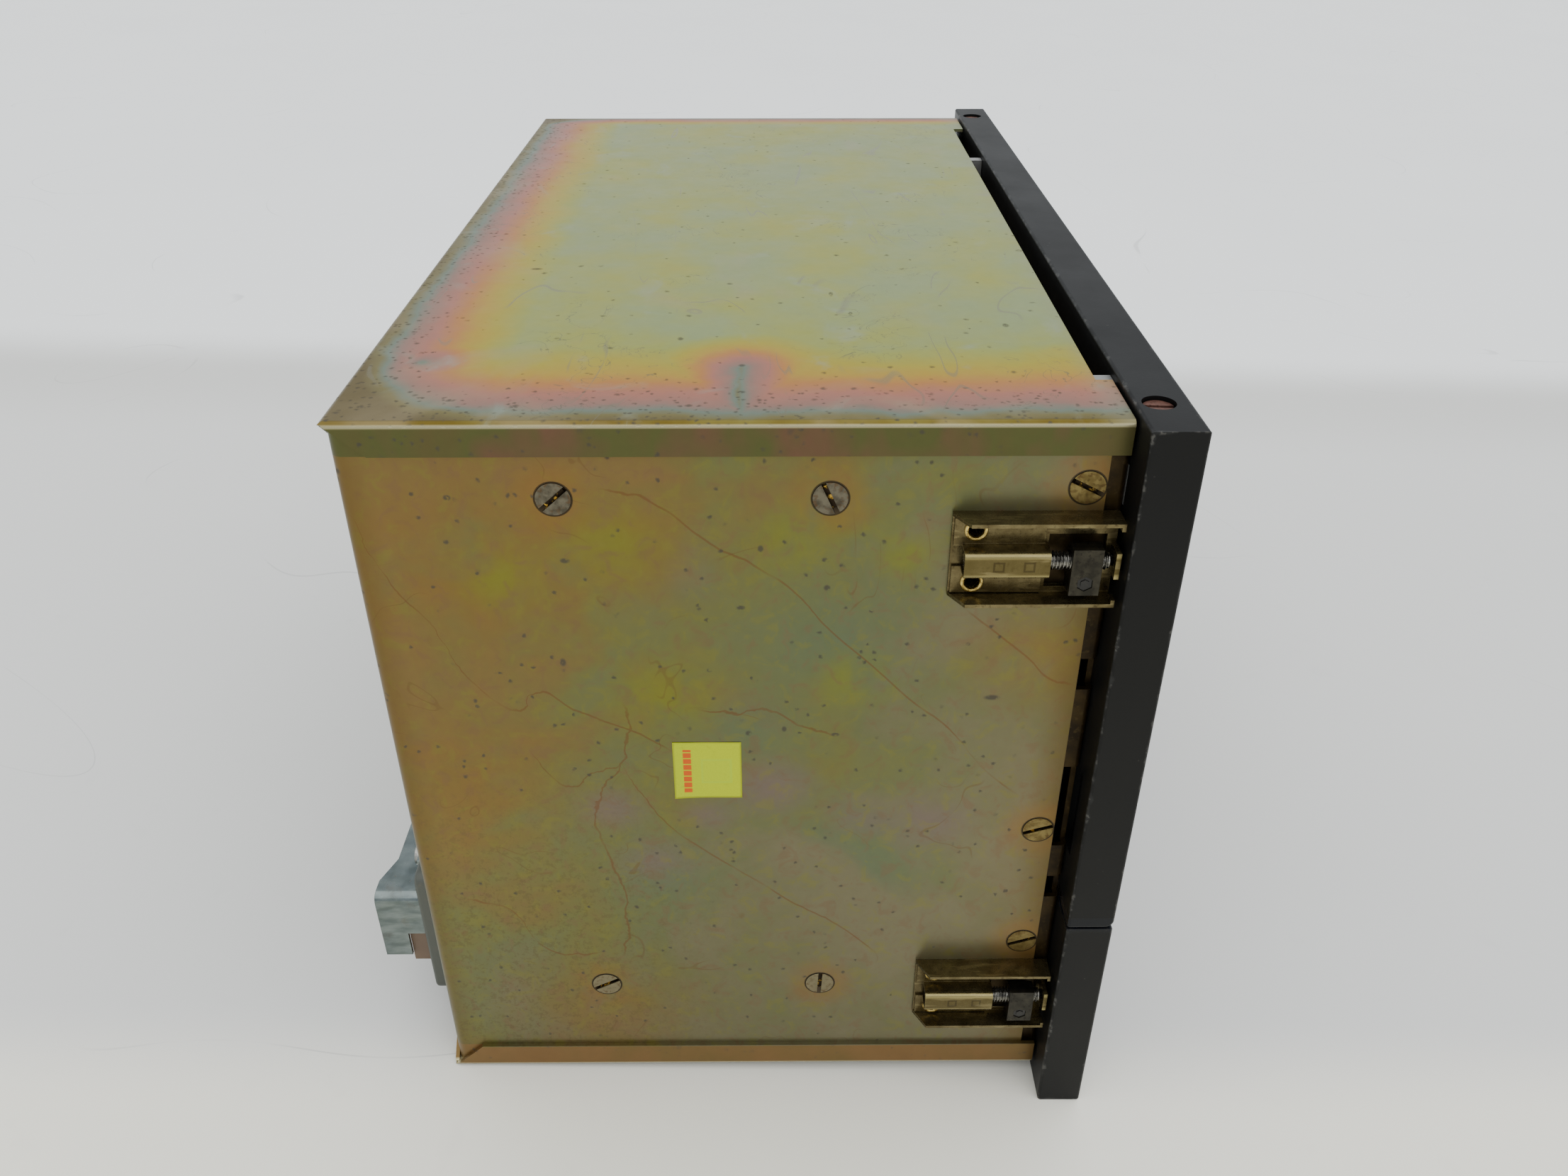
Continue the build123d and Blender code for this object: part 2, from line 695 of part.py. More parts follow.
def jaw(side, z):
    """The jaw: its long end points down when stowed, and outwards when it grips the panel."""
    x = side * clamp_axis_x
    with BuildSketch(Plane.XZ.offset(-jaw_y[0])) as outline:
        with Locations((x + side * (jaw_out - jaw_in) / 2, z + (jaw_up - jaw_down) / 2)):
            Rectangle(jaw_out + jaw_in, jaw_up + jaw_down)
        corners = outline.vertices().sort_by(Axis.X, reverse=side < 0)
        fillet(corners[:2].sort_by(Axis.Y)[-1], jaw_round_r)
    extrude(outline.sketch, amount=-(jaw_y[1] - jaw_y[0]))
    rod((x, jaw_y[0], z), (0, 1, 0), spindle_r + jaw_bore_clear, jaw_y[1] - jaw_y[0], Mode.SUBTRACT)
    pin_at = (side * (clamp_axis_x + jaw_out), (jaw_y[0] + jaw_y[1]) / 2, z - jaw_pin_drop)
    hex_rod(pin_at, (-side, 0, 0), jaw_pin_r, jaw_pin_depth, Mode.SUBTRACT)


clamp_places = [
    ("left_upper", -1, clamp_z[0]),
    ("left_lower", -1, clamp_z[1]),
    ("right_upper", 1, clamp_z[0]),
    ("right_lower", 1, clamp_z[1]),
]

for place, side, z in clamp_places:
    with BuildPart() as clamp_bracket:
        bracket(side, z)
    save(clamp_bracket, f"{place}_bracket")
    with BuildPart() as clamp_spindle:
        spindle(side, z)
    save(clamp_spindle, f"{place}_spindle")
    with BuildPart() as clamp_jaw:
        jaw(side, z)
    save(clamp_jaw, f"{place}_jaw")

with BuildPart() as clamp_bridges:
    for _, side, z in clamp_places:
        bridge(side, z)
save(clamp_bridges, "clamp_bridges")

with BuildPart() as clamp_eyelets:
    for _, side, z in clamp_places:
        for dz in (-eyelet_pitch / 2, eyelet_pitch / 2):
            eyelet(side, z + dz)
save(clamp_eyelets, "clamp_eyelets")

# ---------------------------------------------------------------- control strip
panel_back_y = rabbet_y + panel_t
bank_y = (-2.5, 9.0)
bank_x = (button_x[0] - 10, button_x[-1] + 10)
power_bush_r = power_r + 1.2
shaft_hole_r = 4.75
bnc_hole_r = 4.8

with BuildPart() as control_panel:
    block(
        (-window_x, window_x),
        (rabbet_y, panel_back_y),
        (lower_rabbet_z[0] + window_fit, lower_rabbet_z[1] - window_fit),
    )
    for x in button_x:
        gap = button_w / 2 + button_clear
        block((x - gap, x + gap), (rabbet_y, panel_back_y), (control_z - gap, control_z + gap), Mode.SUBTRACT)
    for x, r in ((power_x, power_r + button_clear), (knob_x, shaft_hole_r), (bnc_x, bnc_hole_r)):
        rod((x, rabbet_y, control_z), (0, 1, 0), r, panel_t, Mode.SUBTRACT)
save(control_panel, "control_panel")

with BuildPart() as button_bank:
    block(bank_x, bank_y, (control_z - 8, control_z + 8))
    for x in (bank_x[0], bank_x[1] - 4):
        block((x, x + 4), (panel_back_y, bank_y[0]), (control_z - 8, control_z + 8))
    for x in button_x:
        hole = stem_w / 2 + button_clear
        block((x - hole, x + hole), bank_y, (control_z - hole, control_z + hole), Mode.SUBTRACT)
save(button_bank, "button_bank")

for name, x in zip(("hold_button", "reset_button"), button_x):
    with BuildPart() as push_button:
        half = button_w / 2
        block((x - half, x + half), (button_front_y, stem_front_y), (control_z - half, control_z + half))
        fillet(push_button.faces().sort_by(Axis.Y)[0].edges(), 0.8)
        half = stem_w / 2
        stem_y = (stem_front_y, bank_y[1] - button_travel)
        block((x - half, x + half), stem_y, (control_z - half, control_z + half))
    save(push_button, name)

with BuildPart() as power_switch:
    block((power_x - 10, power_x + 10), (-2.0, 22), (control_z - 10, control_z + 10))
    for z in (control_z - 10, control_z + 7):
        block((power_x - 10, power_x + 10), (panel_back_y, -2.0), (z, z + 3))
    rod((power_x, -2.0, control_z), (0, 1, 0), power_stem_r + button_clear, 14, Mode.SUBTRACT)
save(power_switch, "power_switch")

with BuildPart() as power_button:
    rod((power_x, button_front_y, control_z), (0, 1, 0), power_r, 9.0)
    fillet(power_button.faces().sort_by(Axis.Y)[0].edges(), 0.8)
    rod((power_x, button_front_y + 9.0, control_z), (0, 1, 0), power_stem_r, 14)
save(power_button, "power_button")

with BuildPart() as gate_switch:
    rod((knob_x, 4.0, control_z), (0, 1, 0), 12, 16)
    rod((knob_x, panel_back_y, control_z), (0, 1, 0), 7.0, 4.0 - panel_back_y)
    rod((knob_x, rabbet_y - 2.2, control_z), (0, 1, 0), shaft_hole_r - 0.05, 10)
    hex_rod((knob_x, rabbet_y - 2.2, control_z), (0, 1, 0), 7.0, 2.2)
    rod((knob_x, rabbet_y - 3, control_z), (0, 1, 0), shaft_r + shaft_clear, 24, Mode.SUBTRACT)
save(gate_switch, "gate_switch")

with BuildPart() as gate_shaft:
    rod((knob_x, knob_front_y + 3, control_z), (0, 1, 0), shaft_r, 32)
save(gate_shaft, "gate_shaft")

with BuildPart() as gate_knob:
    rod((knob_x, knob_front_y, control_z), (0, 1, 0), knob_r, 12.5)
    fillet(gate_knob.faces().sort_by(Axis.Y)[0].edges(), 1.0)
    for i in range(24):
        turn = radians(i * 15)
        at = (knob_x + knob_r * cos(turn), knob_front_y + 2, control_z + knob_r * sin(turn))
        rod(at, (0, 1, 0), 0.5, 11, Mode.SUBTRACT)
    rod((knob_x, knob_front_y + 3, control_z), (0, 1, 0), shaft_r, 10, Mode.SUBTRACT)
save(gate_knob, "gate_knob")

with BuildPart() as bnc_socket:
    rod((bnc_x, rabbet_y - 12.5, control_z), (0, 1, 0), bnc_r, 12.5)
    rod((bnc_x, rabbet_y - 1.6, control_z), (0, 1, 0), 7.0, 1.6)
    rod((bnc_x, rabbet_y, control_z), (0, 1, 0), bnc_hole_r - 0.05, 12)
    hex_rod((bnc_x, panel_back_y, control_z), (0, 1, 0), 8.0, 2.5)
    rod((bnc_x - 5.6, rabbet_y - 9, control_z), (1, 0, 0), 1.0, 11.2)
    rod((bnc_x, rabbet_y - 12.5, control_z), (0, 1, 0), 4.1, 10.5, Mode.SUBTRACT)
    rod((bnc_x, rabbet_y - 12.5, control_z), (0, 1, 0), 2.0, 30, Mode.SUBTRACT)
save(bnc_socket, "bnc_socket")

with BuildPart() as bnc_core:
    rod((bnc_x, rabbet_y - 7, control_z), (0, 1, 0), 1.9, 20)
    rod((bnc_x, rabbet_y - 10, control_z), (0, 1, 0), 0.8, 24)
save(bnc_core, "bnc_core")

# ---------------------------------------------------------------- inside
core_x = (frame_x - 71.9, frame_x - 5.9)
core_y = (depth_at(0.44), depth_at(0.745))
core_z = (floor_z, floor_z + 55.0)
limb = 11.0

with BuildPart() as transformer_core:
    block(core_x, core_y, core_z)
    for x in (core_x[0] + limb, core_x[1] - 2 * limb):
        block((x, x + limb), core_y, (core_z[0] + limb, core_z[1] - limb), Mode.SUBTRACT)
save(transformer_core, "transformer_core")

with BuildPart() as transformer_coil:
    coil_x = (core_x[0] + limb + 0.3, core_x[1] - limb - 0.3)
    limb_x = (core_x[0] + 2 * limb - 0.2, core_x[1] - 2 * limb + 0.2)
    coil_z = (core_z[0] + limb + 0.3, core_z[1] - limb - 0.3)
    block(coil_x, (core_y[0] - 9, core_y[1] + 9), coil_z)
    block(limb_x, (core_y[0] - 0.2, core_y[1] + 0.2), coil_z, Mode.SUBTRACT)
save(transformer_coil, "transformer_coil")

boards = {
    "counter_board": ((-frame_x + 11.9, frame_x - 99.9), (rail_front_y + 6, case_rear_y - 28.0)),
    "supply_board": ((frame_x - 91.9, frame_x - 9.9), (depth_at(0.034), depth_at(0.339))),
}
for name, (xs, ys) in boards.items():
    with BuildPart() as circuit_board:
        block(xs, ys, (board_z, board_z + board_t))
    save(circuit_board, name)

with BuildPart() as board_standoffs:
    for xs, ys in boards.values():
        for x in (xs[0] + 5, xs[1] - 5):
            for y in (ys[0] + 5, ys[1] - 5):
                hex_rod((x, y, floor_z), (0, 0, 1), 3.0, standoff_h)
save(board_standoffs, "board_standoffs")

with BuildPart() as supply_capacitors:
    for x in (frame_x - 77.9, frame_x - 53.9):
        rod((x, depth_at(0.153), parts_z), (0, 0, 1), 9.0, 36)
save(supply_capacitors, "supply_capacitors")

with BuildPart() as regulator_heatsink:
    fin_x = frame_x - 37.9
    block((fin_x, fin_x + 25.2), (rail_front_y + 10, rail_front_y + 12), (parts_z, parts_z + 30))
    for i in range(7):
        fin = (fin_x + 4 * i, fin_x + 4 * i + 1.2)
        block(fin, (rail_front_y + 12, rail_front_y + 24), (parts_z, parts_z + 30))
save(regulator_heatsink, "regulator_heatsink")

counter_board_y = boards["counter_board"][1]
chip_rows = int((counter_board_y[1] - counter_board_y[0] - 10) // 22)

with BuildPart() as logic_chips:
    for column in range(6):
        for row in range(chip_rows):
            x = -frame_x + 21.9 + 16 * column
            y = rail_front_y + 16 + 22 * row
            block((x, x + 7.6), (y, y + 19), (parts_z, parts_z + 4.5))
save(logic_chips, "logic_chips")

with BuildPart() as crystal_oven:
    oven_x = boards["counter_board"][0][1] - 52
    block((oven_x, oven_x + 36), (rail_front_y + 24, rail_front_y + 60), (parts_z, parts_z + 32))
    fillet(crystal_oven.edges().filter_by(Axis.Z), 3)
    fillet(crystal_oven.faces().sort_by(Axis.Z)[-1].edges(), 1.5)
save(crystal_oven, "crystal_oven")

ribbon_x = (-frame_x + 73.9, -frame_x + 105.9)
ribbon_back_y = display_board_y + board_t

with BuildPart() as display_ribbon:
    plug_z = (display_z - 24, display_z - 18)
    drop_y = (ribbon_back_y + 7, ribbon_back_y + 8)
    block(ribbon_x, (ribbon_back_y, ribbon_back_y + 8), plug_z)
    block(ribbon_x, drop_y, (parts_z + 7, plug_z[1]))
    block(ribbon_x, (drop_y[0], rail_front_y + 11), (parts_z + 7, parts_z + 8))
    block(ribbon_x, (rail_front_y + 7, rail_front_y + 13), (parts_z, parts_z + 8))
save(display_ribbon, "display_ribbon")

# ---------------------------------------------------------------- rear connector
with BuildPart() as connector_frame:
    block(connector_x, (wrap_rear_y, wrap_rear_y + connector_frame_depth), connector_z)
    fillet(connector_frame.edges().filter_by(Axis.Y), connector_corner_r)
    fillet(connector_frame.faces().sort_by(Axis.Y)[-1].edges(), 1.0)
    block(insert_x, (wrap_rear_y, wrap_rear_y + connector_frame_depth), insert_z, Mode.SUBTRACT)
    for x in hood_screw_xs:
        rod((x, wrap_rear_y, hood_screw_z), (0, 1, 0), m3_r, connector_frame_depth, Mode.SUBTRACT)
save(connector_frame, "connector_frame")

pin_y = (wrap_rear_y - 12.0, insert_rear_y - 2.0)
pin_x0 = (insert_x[0] + insert_x[1]) / 2 - (pin_count - 1) * pin_pitch / 2
pin_rows_z = [(insert_z[0] + insert_z[1]) / 2 + dz for dz in (-3.5, 3.5)]

with BuildPart() as connector_body:
    block(
        (insert_x[0] + 0.1, insert_x[1] - 0.1),
        (wrap_rear_y + 0.1, insert_rear_y),
        (insert_z[0] + 0.1, insert_z[1] - 0.1),
    )
    block(
        (insert_x[0] + 1.7, insert_x[1] - 1.7),
        (wrap_rear_y - 8, wrap_rear_y + 0.1),
        (insert_z[0] + 1.7, insert_z[1] - 1.7),
    )
    block(
        (insert_x[0] + 4, insert_x[1] - 4),
        (insert_rear_y - 8, insert_rear_y),
        (insert_z[0] + 4, insert_z[1] - 4),
        Mode.SUBTRACT,
    )
    for i in range(pin_count):
        for z in pin_rows_z:
            x = pin_x0 + i * pin_pitch
            block((x - 0.5, x + 0.5), (wrap_rear_y - 8, insert_rear_y), (z - 0.5, z + 0.5), Mode.SUBTRACT)
save(connector_body, "connector_body")

with BuildPart() as connector_pins:
    for i in range(pin_count):
        for z in pin_rows_z:
            x = pin_x0 + i * pin_pitch
            block((x - 0.45, x + 0.45), pin_y, (z - 0.45, z + 0.45))
save(connector_pins, "connector_pins")

hood_front_y = wrap_rear_y + connector_frame_depth + 0.1

with BuildPart() as rear_hood:
    block(hood_x, (hood_front_y, hood_rear_y), (hood_bottom_z, hood_top_z))
    hood_edges = rear_hood.faces().sort_by(Axis.Z)[-1].edges().filter_by(Axis.Y)
    fillet(hood_edges, 2.5)
    block(
        (hood_x[0] + hood_t, hood_x[1] - hood_t),
        (hood_front_y, hood_rear_y),
        (hood_bottom_z, hood_top_z - hood_t),
        Mode.SUBTRACT,
    )
    # The rear edge steps in between the two side walls
    with BuildSketch(Plane.XY.offset(hood_bottom_z)) as waist:
        with BuildLine():
            Polyline(
                (hood_x[0] + hood_ear, hood_rear_y),
                (hood_x[0] + hood_ear + hood_slope, hood_rear_y - hood_waist),
                (hood_x[1] - hood_ear - hood_slope, hood_rear_y - hood_waist),
                (hood_x[1] - hood_ear, hood_rear_y),
                close=True,
            )
        make_face()
    extrude(waist.sketch, amount=hood_h, mode=Mode.SUBTRACT)
    block(hood_x, (hood_front_y, insert_rear_y), (hood_bottom_z, hood_bottom_z + 8), Mode.SUBTRACT)
    for x in hood_screw_xs:
        block((x - 6, x + 6), (hood_front_y, hood_front_y + hood_t), (hood_top_z - hood_t, hood_top_z + 7))
        rod((x, hood_front_y, hood_screw_z), (0, 1, 0), m3_r + hole_clear, hood_t, Mode.SUBTRACT)
save(rear_hood, "rear_hood")

with BuildPart() as hood_screws:
    for x in hood_screw_xs:
        seat = (x, hood_front_y + hood_t, hood_screw_z)
        cheese_head(seat, (0, 1, 0), m3_r, m3_head_r, m3_head_h, connector_frame_depth + hood_t, 30)
save(hood_screws, "hood_screws")

# ---------------------------------------------------------------- inspection sticker
with BuildPart() as inspection_sticker:
    sticker_y = case_rear_y / 2 - 1
    block((-wrap_x - 0.1, -wrap_x), (sticker_y, sticker_y + 15.2), (case_top_z - 93.1, case_top_z - 77.1))
save(inspection_sticker, "inspection_sticker")
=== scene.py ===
"""Looks of a panel frequency counter in a chromated sheet-steel case, around its CAD frame.

The file is laid out as an add-on: one operator for each piece or group of like pieces.
Lengths inside materials are in millimetres, everywhere else in metres.
"""
import math

import bmesh
import bpy
import numpy as np
from mathutils import Matrix, Vector


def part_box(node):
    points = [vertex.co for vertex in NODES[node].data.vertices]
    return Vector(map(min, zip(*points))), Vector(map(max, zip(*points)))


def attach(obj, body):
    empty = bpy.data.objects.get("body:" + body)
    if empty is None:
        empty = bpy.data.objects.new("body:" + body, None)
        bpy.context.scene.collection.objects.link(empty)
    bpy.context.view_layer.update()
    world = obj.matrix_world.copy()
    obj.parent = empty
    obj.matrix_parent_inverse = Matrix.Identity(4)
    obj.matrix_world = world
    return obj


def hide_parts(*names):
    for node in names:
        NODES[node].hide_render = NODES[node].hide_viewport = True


bl_info = {
    "name": "Panel Frequency Counter",
    "version": (1, 0, 0),
    "blender": (4, 5, 0),
    "location": "3D View > Sidebar > Counter",
    "description": "Finishes and fine parts of a panel frequency counter",
    "category": "Object",
}

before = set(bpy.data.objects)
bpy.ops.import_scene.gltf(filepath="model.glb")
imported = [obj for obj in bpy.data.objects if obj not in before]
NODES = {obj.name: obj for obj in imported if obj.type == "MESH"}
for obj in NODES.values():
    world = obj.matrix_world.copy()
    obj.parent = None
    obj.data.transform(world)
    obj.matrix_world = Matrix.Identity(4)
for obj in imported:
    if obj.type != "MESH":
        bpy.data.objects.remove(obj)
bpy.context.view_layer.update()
MM = 0.001
SIDES = {"left": -1, "right": 1}
PLACES = ("left_upper", "left_lower", "right_upper", "right_lower")


def box_mm(node):
    """A CAD node's lowest and highest corners, in millimetres, as two arrays."""
    low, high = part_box(node)
    return np.array(low) / MM, np.array(high) / MM


CASE_LOW, CASE_HIGH = box_mm("top_cover")
FLOOR_Z = box_mm("bottom_cover")[0][2]
BEZEL_LOW, BEZEL_HIGH = box_mm("lower_bezel")[0], box_mm("upper_bezel")[1]
SEAM_Z = box_mm("lower_bezel")[1][2]
SPINDLE_R = 2.0
UPPER_AXIS_Z = box_mm("left_upper_spindle")[0][2] + SPINDLE_R
LOWER_AXIS_Z = box_mm("left_lower_spindle")[0][2] + SPINDLE_R
AXIS_X = box_mm("right_upper_spindle")[0][0] + SPINDLE_R
WRAP_X = box_mm("case_wrap")[1][0]
# The covers' lips stand past this half-height from the middle of the case
LIP_MIDDLE_Z, LIP_HALF_Z = 1.5, 85.6
# Side screws: head radius, the middle column, and how the rows stand from the seam and the top
SCREW_R = 3.5
SCREW_COLUMN_Y = 57.5
SCREWS_OVER_SEAM, SCREW_UNDER_SEAM, UPPER_ROW_DROP = 23.2, 13.8, 2.2


# ---------------------------------------------------------------- colours and shader maths
def tone(red, green, blue):
    """A colour given as display values from 0 to 255, turned to linear light."""
    value = np.array([red, green, blue]) / 255
    linear = np.where(value > 0.04045, ((value + 0.055) / 1.055) ** 2.4, value / 12.92)
    return (*linear.tolist(), 1.0)


def deepened(colour, gain, richness):
    """A colour with its light scaled by gain and its distance from grey by richness."""
    value = np.array(colour[:3])
    grey = value @ (0.2126, 0.7152, 0.0722)
    return (*np.clip((grey + (value - grey) * richness) * gain, 0.002, 1.0).tolist(), 1.0)


class Wire:
    """One shader socket. A sum written on it adds the Math node that works it out."""

    def __init__(self, finish, socket):
        self.finish = finish
        self.socket = socket

    def _sum(self, operation, *values):
        return self.finish.node("Math", {"operation": operation}, values)

    def __add__(self, other):
        return self._sum("ADD", self, other)

    def __radd__(self, other):
        return self._sum("ADD", other, self)

    def __sub__(self, other):
        return self._sum("SUBTRACT", self, other)

    def __rsub__(self, other):
        return self._sum("SUBTRACT", other, self)

    def __mul__(self, other):
        return self._sum("MULTIPLY", self, other)

    def __rmul__(self, other):
        return self._sum("MULTIPLY", other, self)

    def __truediv__(self, other):
        return self._sum("DIVIDE", self, other)

    def __pow__(self, other):
        return self._sum("POWER", self, other)

    def __abs__(self):
        return self._sum("ABSOLUTE", self)

    def __neg__(self):
        return self._sum("MULTIPLY", self, -1.0)

    def least(self, other):
        return self._sum("MINIMUM", self, other)

    def most(self, other):
        return self._sum("MAXIMUM", self, other)

    def above(self, edge):
        return self._sum("GREATER_THAN", self, edge)

    def fraction(self):
        return self._sum("FRACT", self)

    def ease(self, start, end):
        """0 up to start and 1 from end on, with a smooth rise between; end may be lower."""
        flip = end < start
        low, high = (end, start) if flip else (start, end)
        rise = self.finish.node(
            "MapRange",
            {"interpolation_type": "SMOOTHSTEP"},
            {"Value": self, "From Min": low, "From Max": high},
        )
        return 1 - rise if flip else rise


class Finish:
    """A material on its way: a Principled shader and the nodes that feed it."""

    def __init__(self, name, **constants):
        self.material = bpy.data.materials.new(name)
        self.material.use_nodes = True
        self.tree = self.material.node_tree
        self.tree.nodes.clear()
        self.shader = self.tree.nodes.new("ShaderNodeBsdfPrincipled")
        out = self.tree.nodes.new("ShaderNodeOutputMaterial")
        self.tree.links.new(self.shader.outputs[0], out.inputs[0])
        for socket, value in constants.items():
            self.shader.inputs[socket.replace("_", " ")].default_value = value
        place = self.node("TexCoord", out="Object")
        self.place = self.node("VectorMath", {"operation": "SCALE"}, {0: place, "Scale": 1000.0})
        self.x, self.y, self.z = self.split(self.place)
        ragged = self.node("TexNoise", inputs={"Vector": self.place, "Scale": 0.9}, out="Color")
        ragged = self.node("VectorMath", {"operation": "SUBTRACT"}, (ragged, (0.5, 0.5, 0.5)))
        self.crumpled = self.node("VectorMath", {"operation": "ADD"}, (self.place, ragged))

    def node(self, kind, settings=None, inputs=(), out=0):
        """Adds a node: its settings first, then its sockets' values or links."""
        node = self.tree.nodes.new("ShaderNode" + kind)
        for key, value in (settings or {}).items():
            if key == "stops":
                self._stops(node.color_ramp, value)
            elif key == "curve":
                self._curve(node.mapping, value)
            else:
                setattr(node, key, value)
        pairs = inputs.items() if isinstance(inputs, dict) else enumerate(inputs)
        for key, value in pairs:
            if isinstance(value, Wire):
                self.tree.links.new(value.socket, node.inputs[key])
            else:
                node.inputs[key].default_value = value
        return Wire(self, node.outputs[out])

    @staticmethod
    def _stops(ramp, stops):
        while len(ramp.elements) < len(stops):
            ramp.elements.new(1.0)
        for element, (at, colour) in zip(ramp.elements, stops):
            element.position = at
            element.color = colour

    @staticmethod
    def _curve(mapping, points):
        line = mapping.curves[0].points
        while len(line) < len(points):
            line.new(0.5, 0.5)
        for point, (at, height) in zip(line, points):
            point.location = (at, height)
        mapping.update()

    def split(self, vector):
        node = self.tree.nodes.new("ShaderNodeSeparateXYZ")
        self.tree.links.new(vector.socket, node.inputs[0])
        return [Wire(self, output) for output in node.outputs]

    def join(self, x, y, z):
        return self.node("CombineXYZ", inputs=(x, y, z))

    def noise(self, size, detail=3.0, rough=0.55, at=None, stretch=None, warp=0.0):
        """Noise from 0 to 1 whose lumps are about size mm across."""
        vector = at or self.place
        if stretch:
            vector = self.node("VectorMath", {"operation": "MULTIPLY"}, (vector, stretch))
        return self.node(
            "TexNoise",
            inputs={
                "Vector": vector,
                "Scale": 1 / size,
                "Detail": detail,
                "Roughness": rough,
                "Distortion": warp,
            },
        )

    def specks(self, size, share, reach=0.3):
        """Round dots on cells of size mm, in the share of cells given (a number or wire)."""
        cell = {"Vector": self.crumpled, "Scale": 1 / size}
        near = self.node("TexVoronoi", inputs=cell)
        pick = self.split(self.node("TexVoronoi", inputs=cell, out="Color"))[0]
        return near.ease(reach, reach * 0.2) * (share - pick).above(0.0)

    def ramp(self, value, stops):
        return self.node("ValToRGB", {"stops": stops}, (value,))

    def mix(self, share, below, above, blend="MIX"):
        settings = {"data_type": "RGBA", "blend_type": blend, "clamp_factor": True}
        return self.node("Mix", settings, {0: share, 6: below, 7: above}, out=2)

    def distance(self, start, end):
        """How far apart two points are, in mm."""
        return self.node("VectorMath", {"operation": "DISTANCE"}, (start, end), out="Value")

    def dab(self, centre, size, soft=0.6):
        """1 inside an oval about centre with half-sizes size, falling to 0 past its rim."""
        away = self.node("VectorMath", {"operation": "SUBTRACT"}, (self.place, centre))
        away = self.node("VectorMath", {"operation": "DIVIDE"}, (away, size))
        reach = self.node("VectorMath", {"operation": "LENGTH"}, (away,), out="Value")
        return reach.ease(1.0, soft)

    def brightness(self, colour, gain):
        """The colour multiplied by a wire or number."""
        if not isinstance(colour, Wire):
            colour = colour[:3]
        return self.node("VectorMath", {"operation": "SCALE"}, {0: colour, "Scale": gain})

    def bump(self, height, depth_mm, strength=1.0, below=None):
        """A bump whose height, from 0 to 1, stands for depth_mm."""
        inputs = {"Strength": strength, "Distance": depth_mm * MM, "Height": height}
        if below:
            inputs["Normal"] = below
        return self.node("Bump", inputs=inputs)

    def feed(self, **wires):
        """Links wires to the shader's sockets and gives back the material."""
        for socket, value in wires.items():
            target = self.shader.inputs[socket.replace("_", " ")]
            if isinstance(value, Wire):
                self.tree.links.new(value.socket, target)
            else:
                target.default_value = value
        return self.material


# ---------------------------------------------------------------- finishes
# Colours of the chromate film, from bare at the edges to full
FILM = [
    (0.00, (96, 86, 60)), (0.06, (118, 112, 84)), (0.11, (122, 130, 120)),
    (0.17, (147, 124, 116)), (0.28, (168, 127, 116)), (0.38, (180, 140, 108)),
    (0.47, (184, 162, 100)), (0.57, (180, 170, 106)), (0.70, (169, 171, 126)),
    (0.80, (161, 168, 137)), (0.90, (156, 165, 138)), (1.00, (164, 154, 122)),
]
FILM = [(at, deepened(tone(*colour), 0.82, 1.82)) for at, colour in FILM]
SIDE_TONES = [
    (0.00, tone(120, 115, 90)),
    (0.25, tone(115, 112, 84)),
    (0.45, tone(109, 112, 77)),
    (0.62, tone(114, 114, 69)),
    (0.80, tone(121, 109, 66)),
    (1.00, tone(128, 107, 66)),
]
UPPER_LIP_TONES = [
    (0.0, tone(66, 56, 30)),
    (0.3, tone(80, 70, 40)),
    (0.5, tone(72, 74, 38)),
    (0.7, tone(96, 62, 52)),
    (1.0, tone(74, 62, 34)),
]
LOWER_LIP_TONES = [
    (0.0, tone(98, 70, 36)),
    (0.4, tone(116, 88, 50)),
    (0.6, tone(106, 86, 46)),
    (1.0, tone(118, 84, 52)),
]
# Thin brown runs on the case's left side: along y or z, then points of that and of the other
SIDE_RUNS = [
    ("y", [(101, 80), (92, 77), (82, 68.5), (73, 63), (65, 57), (57, 47), (48, 38), (39.5, 29),
           (30.5, 21), (21, 8.5), (13, 1.5)]),
    ("y", [(151, 73.6), (146, 59), (139, 48), (133, 34.5), (124, 27), (118.6, 31), (112, 26.6),
           (102, 22), (92.5, 15.6)]),
    ("z", [(27, 101), (17, 100.7), (8.9, 104), (-3.9, 110), (-17.5, 107), (-26, 105),
           (-49.5, 106)]),
    ("y", [(101.6, 9), (93.6, -6.4), (85, -15), (74, -24), (64.6, -32), (55, -38.7), (45, -48.5)]),
    ("y", [(28, 51), (20.7, 44.7), (15.3, 40), (9.7, 34), (5.3, 32.4)]),
    ("y", [(122, 14), (118, 7), (114, 4), (108.6, 9), (103, 11)]),
    ("y", [(84, 26.5), (79, 25.4), (70, 26.4), (63, 22), (56, 19.8)]),
    ("y", [(142, -31), (133, -34), (125, -48), (113, -49.4)]),
]
# Dark spots: two coordinates on the face, then two half-sizes
SIDE_SPOTS = [
    (110.4, 64.0, 1.3, 0.8), (113.1, 39.1, 0.9, 1.3), (75.4, 52.7, 1.2, 0.8),
    (55.3, 19.4, 1.2, 0.7), (74.3, 19.9, 0.9, 0.9), (66.5, 21.0, 0.7, 1.0),
    (21.8, 29.4, 2.2, 0.9), (131.9, 78.3, 1.0, 0.8), (82.3, 36.9, 0.8, 0.7),
    (57.8, 57.4, 0.9, 0.9), (71.2, 66.6, 0.8, 1.1),
]
TOP_SPOTS = [
    (-44.2, 127.5, 1.9, 1.1), (-92.7, 88.6, 0.9, 1.3), (-84.9, 17.1, 1.0, 1.6),
    (-121.8, 74.9, 1.2, 0.8), (-29.9, 4.9, 1.3, 1.2), (-63.6, 55.0, 0.7, 2.0),
    (-77.1, 51.1, 0.7, 1.5),
]


